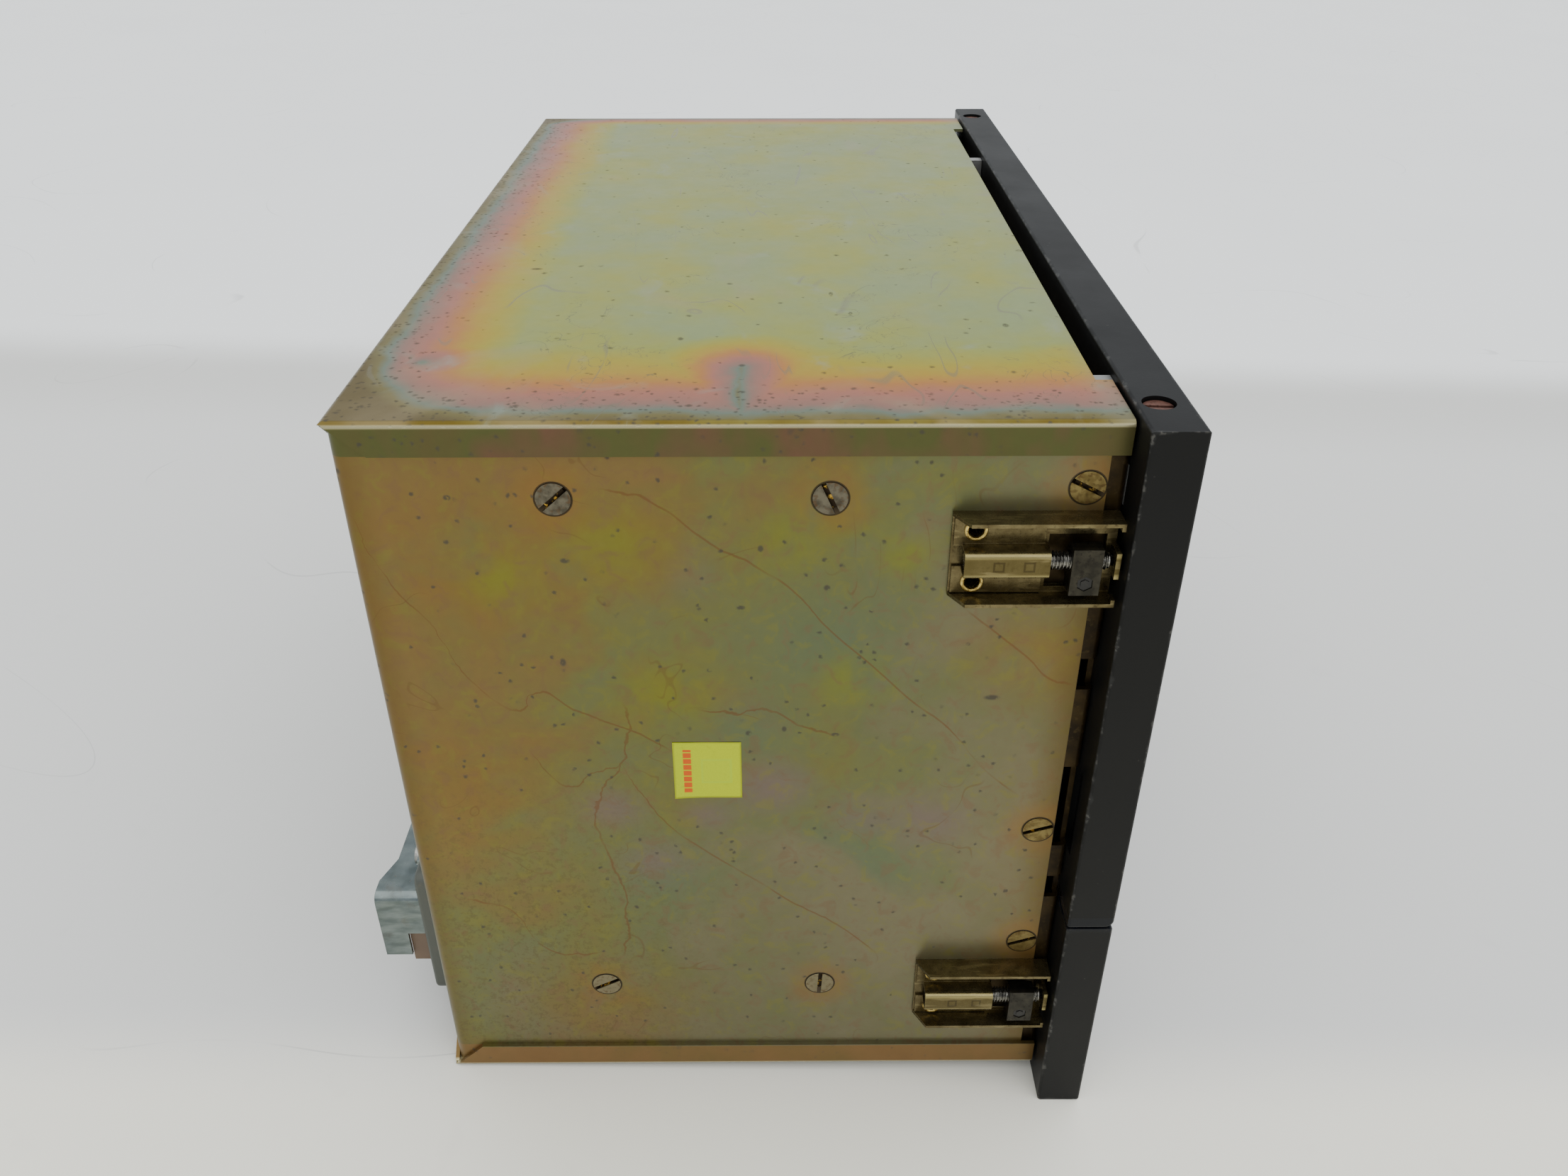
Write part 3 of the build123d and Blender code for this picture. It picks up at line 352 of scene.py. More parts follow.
# Soft patches on the case's left side: colour, strength, the noise that breaks them up and
# where it sets in, then each patch's y, z and size
SIDE_PATCHES = [
    (tone(136, 104, 54), 0.60, "cloud", 0.20,
     [(132, 62, 44), (142, 4, 44), (112, -72, 40), (96, 66, 26), (12, 40, 26)]),
    (tone(96, 112, 90), 0.62, "blotch", 0.30,
     [(58, 44, 30), (94, -26, 26), (74, 22, 20), (52, -20, 30)]),
    (tone(126, 128, 48), 0.75, "cloud", 0.30,
     [(102, 67, 16), (124, 60, 14), (63, 68, 15), (43, 66, 12), (92, 30, 18), (52, 34, 14)]),
    (tone(122, 102, 104), 0.62, "cloud", 0.25,
     [(84, -4, 9), (34, -6, 16), (96, -19, 14), (106, -2, 12), (50, -4, 12), (70, 5, 16)]),
]
# A run's curve maps lengths from -50 to 150 mm on to 0 to 1
RUN_SPAN, RUN_ZERO = 200, 0.25


def least_of(wires):
    """The lowest of several wires, one pair at a time."""
    lowest = wires[0]
    for wire in wires[1:]:
        lowest = lowest.least(wire)
    return lowest


def most_of(wires):
    """The highest of several wires, one pair at a time."""
    highest = wires[0]
    for wire in wires[1:]:
        highest = highest.most(wire)
    return highest


def run_mask(f, along, points, half_width, wander):
    """1 on a thin run: |v - curve(u)| under half_width, between the curve's ends. The points
    are (length along, offset across), and wander is added to both."""
    u, v = (f.y, f.z) if along == "y" else (f.z, f.y)
    points = sorted(points)
    curve = [(a / RUN_SPAN + RUN_ZERO, b / RUN_SPAN + RUN_ZERO) for a, b in points]
    line = f.node("FloatCurve", {"curve": curve}, {"Value": (u + wander) / RUN_SPAN + RUN_ZERO})
    off = abs(v + wander - (line - RUN_ZERO) * RUN_SPAN)
    ends = u.ease(points[0][0] - 2, points[0][0] + 2) * u.ease(points[-1][0] + 2, points[-1][0] - 2)
    return off.ease(half_width, half_width * 0.3) * ends


def top_film(f):
    """Film thickness, 0 at the edges to 1, of the chromate on the case's flat faces."""
    slow, fine = f.noise(26, 3), f.noise(7, 3)
    near = ((f.x - CASE_LOW[0]) / 38).least(1.0)
    far = ((CASE_HIGH[0] - f.x) / 13).least(1.0)
    rear = ((CASE_HIGH[1] - f.y) / 31).least(1.0)
    fall = ((1 - near) ** 2 + (1 - far) ** 2 + (1 - rear) ** 2) ** 0.5
    film = (1 - fall) * 0.76
    corner = f.distance(f.join(f.x, f.y, 0.0), (CASE_LOW[0], 0.0, 0.0))
    film = film.least(0.1 + corner / 62 + (slow - 0.5) * 0.3)
    # A run of thin film from the near edge up to a small dimple
    across = abs(f.y - 75.0 + (fine - 0.5) * 3)
    past = (f.x + 109.0).most(0.0)
    run = ((across ** 2 + past ** 2) ** 0.5) / 29 + 0.08
    film = film.least(run)
    spot = f.distance(f.join(f.x, f.y, 0.0), (-106.0, 141.0, 0.0))
    film = film.least(spot / 28 + 0.09)
    middle = film.ease(0.45, 0.76)
    return film + (slow - 0.5) * (0.14 + middle * 0.26) + (fine - 0.5) * 0.08


def sheet_chromate():
    """Yellow chromate over zinc on the case: bands of colour where the film thins."""
    f = Finish("chromated_sheet")
    grain = f.noise(0.7, 2)
    blotch = f.noise(38, 4, warp=0.8)
    cloud = f.noise(16, 4, warp=0.6)
    wander = (f.noise(6, 3) - 0.5) * 5
    # Flat faces above and below
    film = top_film(f)
    top = f.ramp(film, FILM)
    top = f.mix(blotch.ease(0.55, 0.72) * 0.28, top, tone(166, 150, 116))
    top = f.mix(cloud.ease(0.58, 0.75) * 0.40, top, tone(150, 164, 150))
    top = f.mix(f.y.ease(9, 0) * 0.45, top, tone(140, 140, 118))
    # Upright sides and rear
    behind = f.y.above(CASE_HIGH[1] - 1.5)
    drift = f.y / 154 * 0.75 + (f.z - FLOOR_Z) / 186 * 0.45
    drift = drift + (blotch - 0.5) * 1.5 + (cloud - 0.5) * 0.5
    drift = drift - behind * (0.38 + f.x * 0.0015)
    side = f.ramp(drift - 0.12, SIDE_TONES)
    breaks = {"cloud": cloud, "blotch": blotch}
    for tint, strength, kind, start, places in SIDE_PATCHES:
        for y, z, size in places:
            patch = f.dab((-WRAP_X, y, z), (40, size, size * 0.8), 0.0)
            side = f.mix(patch * breaks[kind].ease(start, 0.6) * strength, side, tint)
    flecks = f.noise(4.5, 5, 0.62, warp=0.7)
    side = f.mix(flecks.ease(0.52, 0.66) * 0.38, side, tone(128, 124, 58))
    side = f.mix(flecks.ease(0.48, 0.34) * 0.38, side, tone(122, 94, 72))
    rim = least_of([f.y - 3.0, CASE_HIGH[1] - f.y + behind * 20, f.z - FLOOR_Z]).ease(9, 1)
    side = f.mix(rim * 0.55, side, tone(106, 84, 40))
    side = f.mix(f.y.ease(26, 6) * f.z.ease(60, -20) * 0.25, side, tone(108, 86, 42))
    heads = screw_distance(f)
    halo = heads.ease(11, 4) * cloud.ease(0.25, 0.55)
    side = f.mix(halo * 0.4, side, tone(144, 104, 54))
    runs = most_of([run_mask(f, along, points, 0.42, wander) for along, points in SIDE_RUNS])
    runs = runs * f.noise(14, 2).ease(0.30, 0.5) * (-f.x).above(0.0)
    side = f.mix(runs * 0.55, side, tone(112, 74, 44))
    blurred = f.noise(44, 2, warp=1.5)
    hair = abs(blurred - 0.52).ease(0.006, 0.002) * f.noise(20, 2).ease(0.52, 0.64)
    side = f.mix(hair * 0.35, side, tone(108, 78, 48))
    grit = f.noise(1.4, 4, 0.7).ease(0.5, 0.62) * f.y.ease(60, 130) * f.z.ease(30, -40)
    side = f.mix(grit * 0.35, side, tone(92, 80, 52))
    # Painted light: the side is made a little lighter towards the front and low down, and a little
    # darker high up, as light thrown up from the table would make it
    side = f.brightness(side, 0.72 + (f.y.ease(60, 10) - f.z.ease(-20, 30)) * 0.05)
    side = f.node("HueSaturation", inputs={"Saturation": 1.05, "Fac": 1.0, "Color": side})
    top = f.brightness(top, 0.91)
    # Lips of the covers
    drawn = f.noise(20, 3, stretch=(0.1, 1.0, 0.6))
    lip = f.mix(f.z.above(0.0), f.ramp(drawn, LOWER_LIP_TONES), f.ramp(drawn, UPPER_LIP_TONES))
    side = f.mix(abs(f.z - LIP_MIDDLE_Z).above(LIP_HALF_Z), side, lip)
    is_top = f.z.ease(CASE_HIGH[2] - 1.4, CASE_HIGH[2] - 0.35).most(
        f.z.ease(FLOOR_Z + 1.4, FLOOR_Z + 0.35)
    )
    colour = f.mix(is_top, side, top)
    # Dirt specks, thick along the edges
    near_edge = (f.x - CASE_LOW[0]).ease(26, 4).most(f.y.ease(134, 150)) * is_top
    few = 0.02 + near_edge * 0.55
    specks = f.specks(1.5, few, 0.44).most(f.specks(2.8, 0.03 + near_edge * 0.2, 0.34))
    specks = specks.most(f.specks(5.5, 0.14, 0.27) * (1 - is_top))
    specks = specks.most(f.specks(2.1, 0.18, 0.34) * (1 - is_top) * blotch.ease(0.4, 0.6))
    specks = specks * f.noise(1.3, 3).ease(0.22, 0.46)
    marks = [f.dab((-WRAP_X, y, z), (4, a, b), 0.4) for y, z, a, b in SIDE_SPOTS]
    marks += [f.dab((x, y, CASE_HIGH[2]), (b, a, 4), 0.4) for x, y, a, b in TOP_SPOTS]
    marks = most_of(marks) * f.noise(1.1, 2).ease(0.32, 0.5)
    hole = f.dab((-108.0, 75.0, CASE_HIGH[2]), (1.0, 1.0, 4.0), 0.3)
    dirt = specks.most(marks).most(hole)
    mottle = f.noise(2.4, 4, 0.65)
    colour = f.brightness(colour, 0.93 + mottle * 0.14)
    colour = f.mix(dirt * 0.78, colour, tone(44, 40, 28))
    # Painted shade: a dark ring round each side screw's head, for the shaded gap between the head
    # and the sheet
    gap = heads.ease(SCREW_R + 0.48, SCREW_R + 0.28) * (1 - is_top)
    colour = f.mix(gap * 0.85, colour, tone(26, 20, 12))
    # Hair scratches on the flat face
    fine = f.noise(30, 2, stretch=(0.25, 1.0, 1.0), warp=1.2)
    lines = abs(fine - 0.5).ease(0.007, 0.002) * f.noise(24, 2).ease(0.50, 0.60) * is_top
    wide = f.noise(16, 3, warp=2.2)
    curls = abs(wide - 0.47).ease(0.008, 0.002) * f.noise(30, 2).ease(0.52, 0.62) * is_top
    colour = f.mix(lines * 0.45, colour, tone(104, 98, 72))
    colour = f.mix(curls * 0.6, colour, tone(84, 84, 60))
    # Painted highlight: a pale line along the folds of the covers, for the light caught on the
    # rounded bend
    fold = is_top * (1 - is_top) * 4
    colour = f.mix(fold * 0.55, colour, tone(208, 200, 160))
    rough = 0.36 + (f.noise(9, 3) - 0.5) * 0.16 + dirt * 0.25 - fold * 0.14 - lines * 0.1
    bump = f.bump(grain + dirt * -2.0 + lines * -0.8 + curls * -1.0, 0.012, 0.35)
    return f.feed(
        Base_Color=colour,
        Metallic=0.72 - dirt * 0.5,
        Roughness=rough,
        Normal=bump,
    )


def screw_distance(f):
    """Distance in mm, across the case's side, to the nearest of the side screws."""
    flat = f.join(0.0, f.y, f.z)
    low, high = box_mm("side_screws")
    front, back = low[1] + SCREW_R, high[1] - SCREW_R
    upper, lower = high[2] - SCREW_R, low[2] + SCREW_R
    heads = [(front, upper), (front, SEAM_Z + SCREWS_OVER_SEAM), (front, SEAM_Z - SCREW_UNDER_SEAM)]
    for z in (upper - UPPER_ROW_DROP, lower):
        heads += [(SCREW_COLUMN_Y, z), (back, z)]
    return least_of([f.distance(flat, (0.0, y, z)) for y, z in heads])


def plain_chromate(name, low, high, metal=0.8, rough=0.36, lump=9):
    """Yellow chromate on small parts: two olive tones in soft clouds, with rubbed spots."""
    f = Finish(name)
    cloud = f.noise(lump, 4)
    colour = f.mix(cloud.ease(0.3, 0.7), low, high)
    dull = f.noise(1.6, 3)
    colour = f.mix(dull.ease(0.55, 0.75) * 0.5, colour, tone(86, 72, 40))
    bump = f.bump(f.noise(0.5, 2), 0.01, 0.4)
    return f.feed(
        Base_Color=colour,
        Metallic=metal,
        Roughness=rough + (dull - 0.5) * 0.3,
        Normal=bump,
    )


def clamp_chromate():
    """The clamps' olive chromate, with two small square stamps on each bridge."""
    f = Finish("clamp_chromate")
    cloud = f.noise(4, 4)
    colour = f.mix(cloud.ease(0.3, 0.7), tone(84, 74, 48), tone(110, 100, 70))
    dull = f.noise(0.9, 3)
    colour = f.mix(dull.ease(0.56, 0.72) * 0.6, colour, tone(56, 46, 28))
    middle, half = (UPPER_AXIS_Z + LOWER_AXIS_Z) / 2, (UPPER_AXIS_Z - LOWER_AXIS_Z) / 2
    across = abs(abs(f.z - middle) - half)
    rings = [across.most(abs(f.y - y)) for y in (18.5, 24.5)]
    squares = [ring.ease(1.25, 1.05) * ring.ease(0.65, 0.85) for ring in rings]
    stamp = most_of(squares) * abs(f.x).above(WRAP_X + 5.2)
    # Painted shade: darker on the bracket's foot, within about 2 mm of the case side
    base = 1 - (abs(f.x) - WRAP_X).ease(0.9, 1.9)
    colour = f.mix(base * 0.4, colour, tone(64, 54, 32))
    crown = (abs(f.x) - WRAP_X).ease(4.4, 5.2) * across.ease(3.4, 3.1)
    colour = f.mix(crown * 0.7, colour, tone(82, 72, 38))
    # Painted highlight: a pale band along both long edges of each bridge's crown, for the light on
    # its rounded edges
    worn = crown * across.ease(1.5, 2.3)
    colour = f.mix(worn * 0.6, colour, tone(160, 148, 100))
    colour = f.mix(stamp * 0.6, colour, tone(48, 40, 22))
    scuffs = f.noise(1.2, 2, stretch=(1, 0.15, 1)).ease(0.56, 0.66)
    bump = f.bump(f.noise(0.4, 2) - stamp * 2.0, 0.015, 0.5)
    return f.feed(
        Base_Color=f.mix(scuffs * 0.25, colour, tone(160, 148, 108)),
        Metallic=0.9,
        Roughness=0.30 + (dull - 0.5) * 0.35,
        Normal=bump,
    )


def bezel_paint(colour):
    """Satin charcoal paint with a fine stipple, nicked and rubbed along the edges."""
    f = Finish("bezel_paint", **{"Specular IOR Level": 0.16})
    ends = [abs(f.z - z) for z in (BEZEL_HIGH[2], SEAM_Z, SEAM_Z + 0.2, BEZEL_LOW[2])]
    out_x = abs(BEZEL_HIGH[0] - abs(f.x))
    out_y = abs(f.y - BEZEL_LOW[1]).least(abs(f.y - BEZEL_HIGH[1]))
    out_z = least_of(ends)
    most = out_x.most(out_y).most(out_z)
    least = out_x.least(out_y).least(out_z)
    edge = out_x + out_y + out_z - most - least
    patch = f.noise(5, 3)
    rub = (edge + (patch - 0.5) * 3.4).ease(0.5, -0.2)
    nick = rub * f.noise(1.4, 2).ease(0.5, 0.6)
    cloud = f.noise(22, 4)
    streak = f.noise(3, 3, stretch=(1, 1, 0.12))
    base = f.brightness(colour, 0.32 + cloud * 0.15 + (streak - 0.5) * 0.08)
    base = f.mix(rub * 0.4, base, tone(50, 50, 50))
    base = f.mix(nick * 0.4, base, tone(112, 110, 106))
    dust = f.specks(1.9, 0.05, 0.2)
    base = f.mix(dust * 0.25, base, tone(96, 94, 88))
    wet = (abs(f.z - SEAM_Z - 1.2) + (patch - 0.5) * 1.2).ease(2.6, 1.6)
    base = f.mix(wet * 0.8, base, tone(10, 13, 20))
    bump = f.bump(f.noise(0.55, 2), 0.03, 0.35, f.bump(cloud, 0.3, 0.15))
    rough = 0.47 + (cloud - 0.5) * 0.2 - wet * 0.3 + nick * 0.1 - rub * 0.06
    return f.feed(Base_Color=base, Roughness=rough, Normal=bump, Metallic=nick * 0.5)


def steel(name, dark, light, rough=0.36, metal=0.95, dirt=0.4, grime=(50, 42, 32), size=3.0):
    """Bare or plated steel: turned or drawn streaks, stain clouds and dark pits."""
    f = Finish(name)
    cloud = f.noise(size, 4)
    colour = f.mix(cloud.ease(0.3, 0.7), dark, light)
    pits = f.specks(0.9, 0.22, 0.3)
    stain = f.noise(size * 0.6, 3).ease(0.55, 0.72)
    colour = f.mix((stain * dirt).most(pits * dirt), colour, tone(*grime))
    scuff = f.noise(0.5, 2, stretch=(1, 0.2, 1))
    return f.feed(
        Base_Color=colour,
        Metallic=metal,
        Roughness=rough + (cloud - 0.5) * 0.25 + stain * 0.2,
        Normal=f.bump(scuff - pits * 2, 0.012, 0.4),
    )


def screw_finish():
    """Side screws: grey in the upper row, yellow near the front, bright below."""
    f = Finish("side_screw_metal")
    cloud = f.noise(2.2, 4)
    grey = f.mix(cloud.ease(0.35, 0.65), tone(66, 62, 52), tone(96, 91, 78))
    yellow = f.mix(cloud.ease(0.35, 0.65), tone(92, 78, 44), tone(118, 104, 64))
    front = f.y.ease(20, 16)
    low = f.z.ease(-30, -34) * (1 - front)
    colour = f.mix(front, grey, yellow)
    colour = f.mix(low, colour, f.mix(cloud, tone(98, 92, 70), tone(126, 118, 94)))
    depth = (WRAP_X + 0.02 - abs(f.x)).ease(0.0, 0.35)
    reach = screw_distance(f)
    rust = f.noise(1.0, 3).ease(0.5, 0.62) * 0.5
    colour = f.mix(rust * reach.ease(1.5, 3.3), colour, tone(96, 70, 42))
    # Painted shade in the screw slots: a dark slot floor, with patches of painted brassy highlight
    slot_glint_highlight = f.noise(1.6, 2).ease(0.56, 0.66)
    slot = f.mix(slot_glint_highlight, tone(48, 38, 26), tone(206, 168, 74))
    colour = f.mix(depth, colour, slot)
    bump = f.bump(f.noise(0.5, 2), 0.015, 0.4)
    return f.feed(
        Base_Color=colour, Metallic=0.9, Roughness=0.34 + rust * 0.5 + depth * 0.2, Normal=bump
    )


def jaw_steel():
    """Oiled clamp jaw: a paler worn plate outside, dark and greasy behind."""
    f = Finish("jaw_steel")
    cloud = f.noise(2.6, 4)
    plate = f.mix(cloud.ease(0.3, 0.7), tone(34, 32, 26), tone(54, 51, 42))
    body = f.mix(cloud, tone(16, 15, 13), tone(32, 30, 27))
    outer = (abs(f.x) - AXIS_X).ease(1.5, 2.3)
    colour = f.mix(outer, body, plate)
    grease = f.noise(0.9, 3).ease(0.52, 0.66)
    colour = f.mix(grease * 0.5, colour, tone(34, 30, 26))
    return f.feed(
        Base_Color=colour,
        Metallic=0.8,
        Roughness=0.36 + grease * 0.25,
        Normal=f.bump(f.noise(0.4, 2), 0.02, 0.5),
    )


def zinc_sheet():
    """Bright bluish zinc: long rubbed streaks, faint spangle and dull spots."""
    f = Finish("bright_zinc")
    streak = f.noise(2.2, 3, stretch=(0.3, 0.3, 1.0))
    cells = {"Vector": f.place, "Scale": 1 / 3.0}
    spangle = f.split(f.node("TexVoronoi", inputs=cells, out="Color"))[1]
    colour = f.mix(streak.ease(0.3, 0.7), tone(86, 95, 94), tone(120, 129, 127))
    colour = f.mix(spangle * 0.25, colour, tone(104, 114, 120))
    spots = f.specks(1.7, 0.14, 0.25)
    stain = f.noise(7, 4).ease(0.55, 0.7)
    colour = f.mix((spots * 0.7).most(stain * 0.35), colour, tone(96, 92, 84))
    return f.feed(
        Base_Color=colour,
        Metallic=0.95,
        Roughness=0.24 + (streak - 0.5) * 0.2 + spots * 0.3 + stain * 0.12,
        Normal=f.bump(streak + f.noise(14, 2) * 3, 0.05, 0.3),
    )


def casting(name, light, metal=0.35, rough=0.5):
    """Pale cast or moulded metal with a fine sand texture and grime in hollows."""
    f = Finish(name)
    cloud = f.noise(8, 4)
    colour = f.brightness(light, 0.85 + cloud * 0.3)
    grime = f.noise(3, 4).ease(0.56, 0.74)
    colour = f.mix(grime * 0.4, colour, tone(96, 90, 78))
    return f.feed(
        Base_Color=colour,
        Metallic=metal,
        Roughness=rough + (cloud - 0.5) * 0.2,
        Normal=f.bump(f.noise(0.45, 2), 0.03, 0.5),
    )


def moulding(name, colour, rough=0.42, grain=0.5, depth=0.02, mottle=0.25, **constants):
    """Moulded plastic: a fine moulded grain, slight mottling and a few pale scuffs."""
    f = Finish(name, **constants)
    cloud = f.noise(6, 3)
    base = f.brightness(colour, 1 - mottle / 2 + cloud * mottle)
    scuff = f.noise(2.0, 3, stretch=(1, 0.3, 0.4)).ease(0.62, 0.72)
    base = f.mix(scuff * 0.18, base, tone(190, 186, 176))
    return f.feed(
        Base_Color=base,
        Roughness=rough + (cloud - 0.5) * 0.14 + scuff * 0.1,
        Normal=f.bump(f.noise(grain, 2), depth, 0.4),
    )


def brushed(name, dark, light, along=(0.02, 1, 1), rough=0.3):
    """Brushed plate: very long fine streaks in one direction, with a few dull patches."""
    f = Finish(name, Metallic=0.95)
    streak = f.noise(0.5, 3, stretch=along)
    dull = f.noise(12, 3)
    colour = f.mix(streak.ease(0.3, 0.7), dark, light)
    return f.feed(
        Base_Color=colour,
        Roughness=rough + (streak - 0.5) * 0.25 + (dull - 0.5) * 0.15,
        Normal=f.bump(streak, 0.01, 0.5),
    )


def window_plastic(colour):
    """Clear tinted plastic: rays pass through where it isn't reflecting."""
    f = Finish("display_window_plastic", IOR=1.49)
    smear = f.noise(30, 4, stretch=(1, 1, 0.5))
    lines = f.noise(1.2, 2, stretch=(0.05, 1, 1)).ease(0.6, 0.7)
    f.feed(
        Base_Color=f.brightness(colour, 0.8 + smear * 0.4),
        Alpha=0.50 + (smear - 0.5) * 0.08,
        Roughness=0.06 + smear.ease(0.45, 0.7) * 0.14 + lines * 0.06,
    )
    f.material.blend_method = "HASHED"
    return f.material


def laminate(name, light, dark):
    """Glass-fibre board: a fine woven check under green resin, with pale tracks."""
    f = Finish(name)
    weave = f.noise(0.6, 2, stretch=(1, 0.2, 1)) + f.noise(0.6, 2, stretch=(0.2, 1, 1)) - 0.5
    colour = f.mix(weave.ease(0.3, 0.7), dark, light)
    tracks = abs(f.noise(5, 0, stretch=(0.3, 1, 1)) - 0.5).ease(0.03, 0.02)
    colour = f.mix(tracks * 0.6, colour, tone(150, 150, 96))
    return f.feed(Base_Color=colour, Roughness=0.34 + weave * 0.1, Normal=f.bump(weave, 0.02, 0.4))


def lamination_steel():
    """Stacked core plates: thin dark lines between varnished sheets."""
    f = Finish("core_plates", Metallic=0.5)
    line = abs((f.y / 0.5).fraction() - 0.5).ease(0.3, 0.48)
    colour = f.mix(line, tone(92, 84, 74), tone(36, 30, 26))
    colour = f.mix(f.noise(6, 3).ease(0.5, 0.7) * 0.4, colour, tone(120, 84, 44))
    return f.feed(Base_Color=colour, Roughness=0.4 + line * 0.2, Normal=f.bump(1 - line, 0.1, 0.5))


def ribbon_plastic():
    """Flat cable: round cores side by side, one of them red."""
    f = Finish("ribbon_plastic")
    edge = box_mm("display_ribbon")[0][0]
    round_core = 1 - abs(((f.x - edge) / 1.27).fraction() - 0.5) * 2
    red = f.x.ease(edge + 1.4, edge + 1.2)
    # Painted shade: the grey darkens into the grooves between the round cores and is palest on
    # their tops
    grey = f.mix(round_core.ease(0.0, 0.5), tone(96, 96, 98), tone(170, 170, 172))
    colour = f.mix(red, grey, tone(168, 40, 34))
    return f.feed(Base_Color=colour, Roughness=0.5, Normal=f.bump(round_core ** 0.5, 0.4, 0.7))


def sticker_paper(colour):
    """Fluorescent label: a plain red bar on its left and a pale square box, no lettering."""
    f = Finish("label_paper", **{"Specular IOR Level": 0.2})
    low, high = box_mm("inspection_sticker")
    top = high[2] - f.z
    in_y = high[1] - f.y
    fibre = f.noise(0.4, 3)
    base = f.brightness(colour, 0.9 + fibre * 0.2)
    bar = abs(in_y - 3.1).ease(1.0, 0.8) * abs(top - 8.2).ease(6.3, 6.0)
    broken = ((top + 0.7) / 1.7).fraction().ease(0.14, 0.2)
    base = f.mix(bar * broken * 0.9, base, tone(196, 60, 16))
    ring = abs(in_y - 9.6).most(abs(top - 8.2))
    box = ring.ease(3.6, 3.4) * ring.ease(2.9, 3.1)
    base = f.mix(box * 0.25 + ring.ease(3.4, 3.2) * 0.1, base, tone(150, 190, 60))
    dirt = f.noise(3, 4).ease(0.6, 0.78)
    edge = least_of([in_y, top, f.y - low[1], f.z - low[2]]).ease(0.6, 0.1)
    base = f.mix((dirt * 0.2).most(edge * 0.35), base, tone(120, 120, 30))
    return f.feed(Base_Color=base, Roughness=0.55, Normal=f.bump(fibre, 0.02, 0.4))


def floor_paint():
    """A plain pale table top, a little brighter far off, with faint smudges, a band of painted
    shade before the bright far zone and painted warm light on the near side.
    """
    f = Finish("pale_table")
    smudge = f.noise(160, 4)
    fine = f.noise(14, 4)
    table, shade_band = (0.69, 0.695, 0.68, 1.0), (0.60, 0.60, 0.575, 1.0)
    far, near = (0.90, 0.92, 0.92, 1.0), (0.90, 0.88, 0.78, 1.0)
    edge = f.x + (smudge - 0.5) * 12
    # Painted shade: a darker band across the table between x 240 and 325 mm, before the bright far
    # zone
    colour = f.mix(edge.ease(332, 400), f.mix(edge.ease(240, 325) * 0.8, table, shade_band), far)
    # Painted light: a warm, pale pool on the near side of the table, for light thrown on it from
    # the case
    colour = f.mix(f.x.ease(-115, -150), colour, near)
    colour = f.brightness(colour, 0.985 + smudge * 0.04 - fine.ease(0.62, 0.8) * 0.03)
    hair = abs(f.noise(260, 1, warp=0.8) - 0.5).ease(0.0012, 0.0004) * f.noise(90, 2).ease(0.5, 0.6)
    colour = f.mix(hair * 0.35, colour, (0.36, 0.36, 0.36, 1.0))
    return f.feed(Base_Color=colour, Roughness=0.42 + smudge * 0.1, Normal=f.bump(fine, 0.05, 0.15))


# ---------------------------------------------------------------- mesh making
def placed(name, data):
    """A new object that holds the data, linked into the scene."""
    piece = bpy.data.objects.new(name, data)
    bpy.context.scene.collection.objects.link(piece)
    return piece


def new_piece(
    name, points, faces, finish, slot, body="case", replaced=(), smooth=True, closed=True
):
    """Puts points (metres) and faces into a mesh object that rides on a CAD body. A closed
    shape has its doubles merged and its faces turned outwards."""
    mesh = bpy.data.meshes.new(name)
    mesh.from_pydata(points, [], faces)
    mesh.validate()
    mesh.polygons.foreach_set("use_smooth", np.full(len(mesh.polygons), smooth))
    if closed:
        tidy_mesh(mesh)
    piece = placed(name, mesh)
    mesh.materials.append(finish)
    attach(piece, body)
    if replaced:
        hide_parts(*replaced)
    return piece


def grid_faces(rows, columns):
    """Four-sided faces of a grid whose columns close round, as whole arrays."""
    row, column = np.meshgrid(np.arange(rows - 1), np.arange(columns), indexing="ij")
    following = (column + 1) % columns
    corners = [row * columns + column, row * columns + following]
    corners += [(row + 1) * columns + following, (row + 1) * columns + column]
    return np.stack(corners, -1).reshape(-1, 4)


def capped_faces(rows, columns):
    """The faces of such a grid with a flat end on its first and its last row."""
    last = (rows - 1) * columns
    ends = [list(range(columns))[::-1], list(range(last, last + columns))]
    return grid_faces(rows, columns).tolist() + ends


def merged(parts):
    """Several (points, faces) joined into one, with the faces renumbered."""
    points, faces, start = [], [], 0
    for part_points, part_faces in parts:
        points.append(part_points)
        faces += [[start + corner for corner in face] for face in part_faces]
        start += len(part_points)
    return np.concatenate(points), faces


def turned(profile, centre, axis, columns=32, closed=False):
    """A profile of (radius, height) turned about an axis: centre + height*axis
    + radius*(cos t*side + sin t*up). A closed profile joins its end to its start; an open
    one is capped flat at both ends."""
    axis = np.array(axis, float)
    side = np.array([0.0, 0.0, 1.0])
    up = np.cross(axis, side)
    turn = np.linspace(0, 2 * np.pi, columns, endpoint=False)
    ring = np.cos(turn)[:, None] * side + np.sin(turn)[:, None] * up
    profile = np.array(profile, float)
    if closed:
        profile = np.concatenate([profile, profile[:1]])
    rings = profile[:, 0, None, None] * ring[None] + profile[:, 1, None, None] * axis
    if closed:
        rings = rings[:-1]
        faces = (grid_faces(len(profile), columns) % (len(rings) * columns)).tolist()
    else:
        faces = capped_faces(len(profile), columns)
    return (rings.reshape(-1, 3) + centre) * MM, faces


def slab(outline, low, high, place):
    """An outline of (u, v) points between two levels; place(u, v, level) gives x, y, z."""
    outline = np.array(outline, float)
    count = len(outline)
    levels = np.repeat([low, high], count)
    both = np.concatenate([outline, outline])
    points = np.stack(place(both[:, 0], both[:, 1], levels), -1) * MM
    return points, capped_faces(2, count)


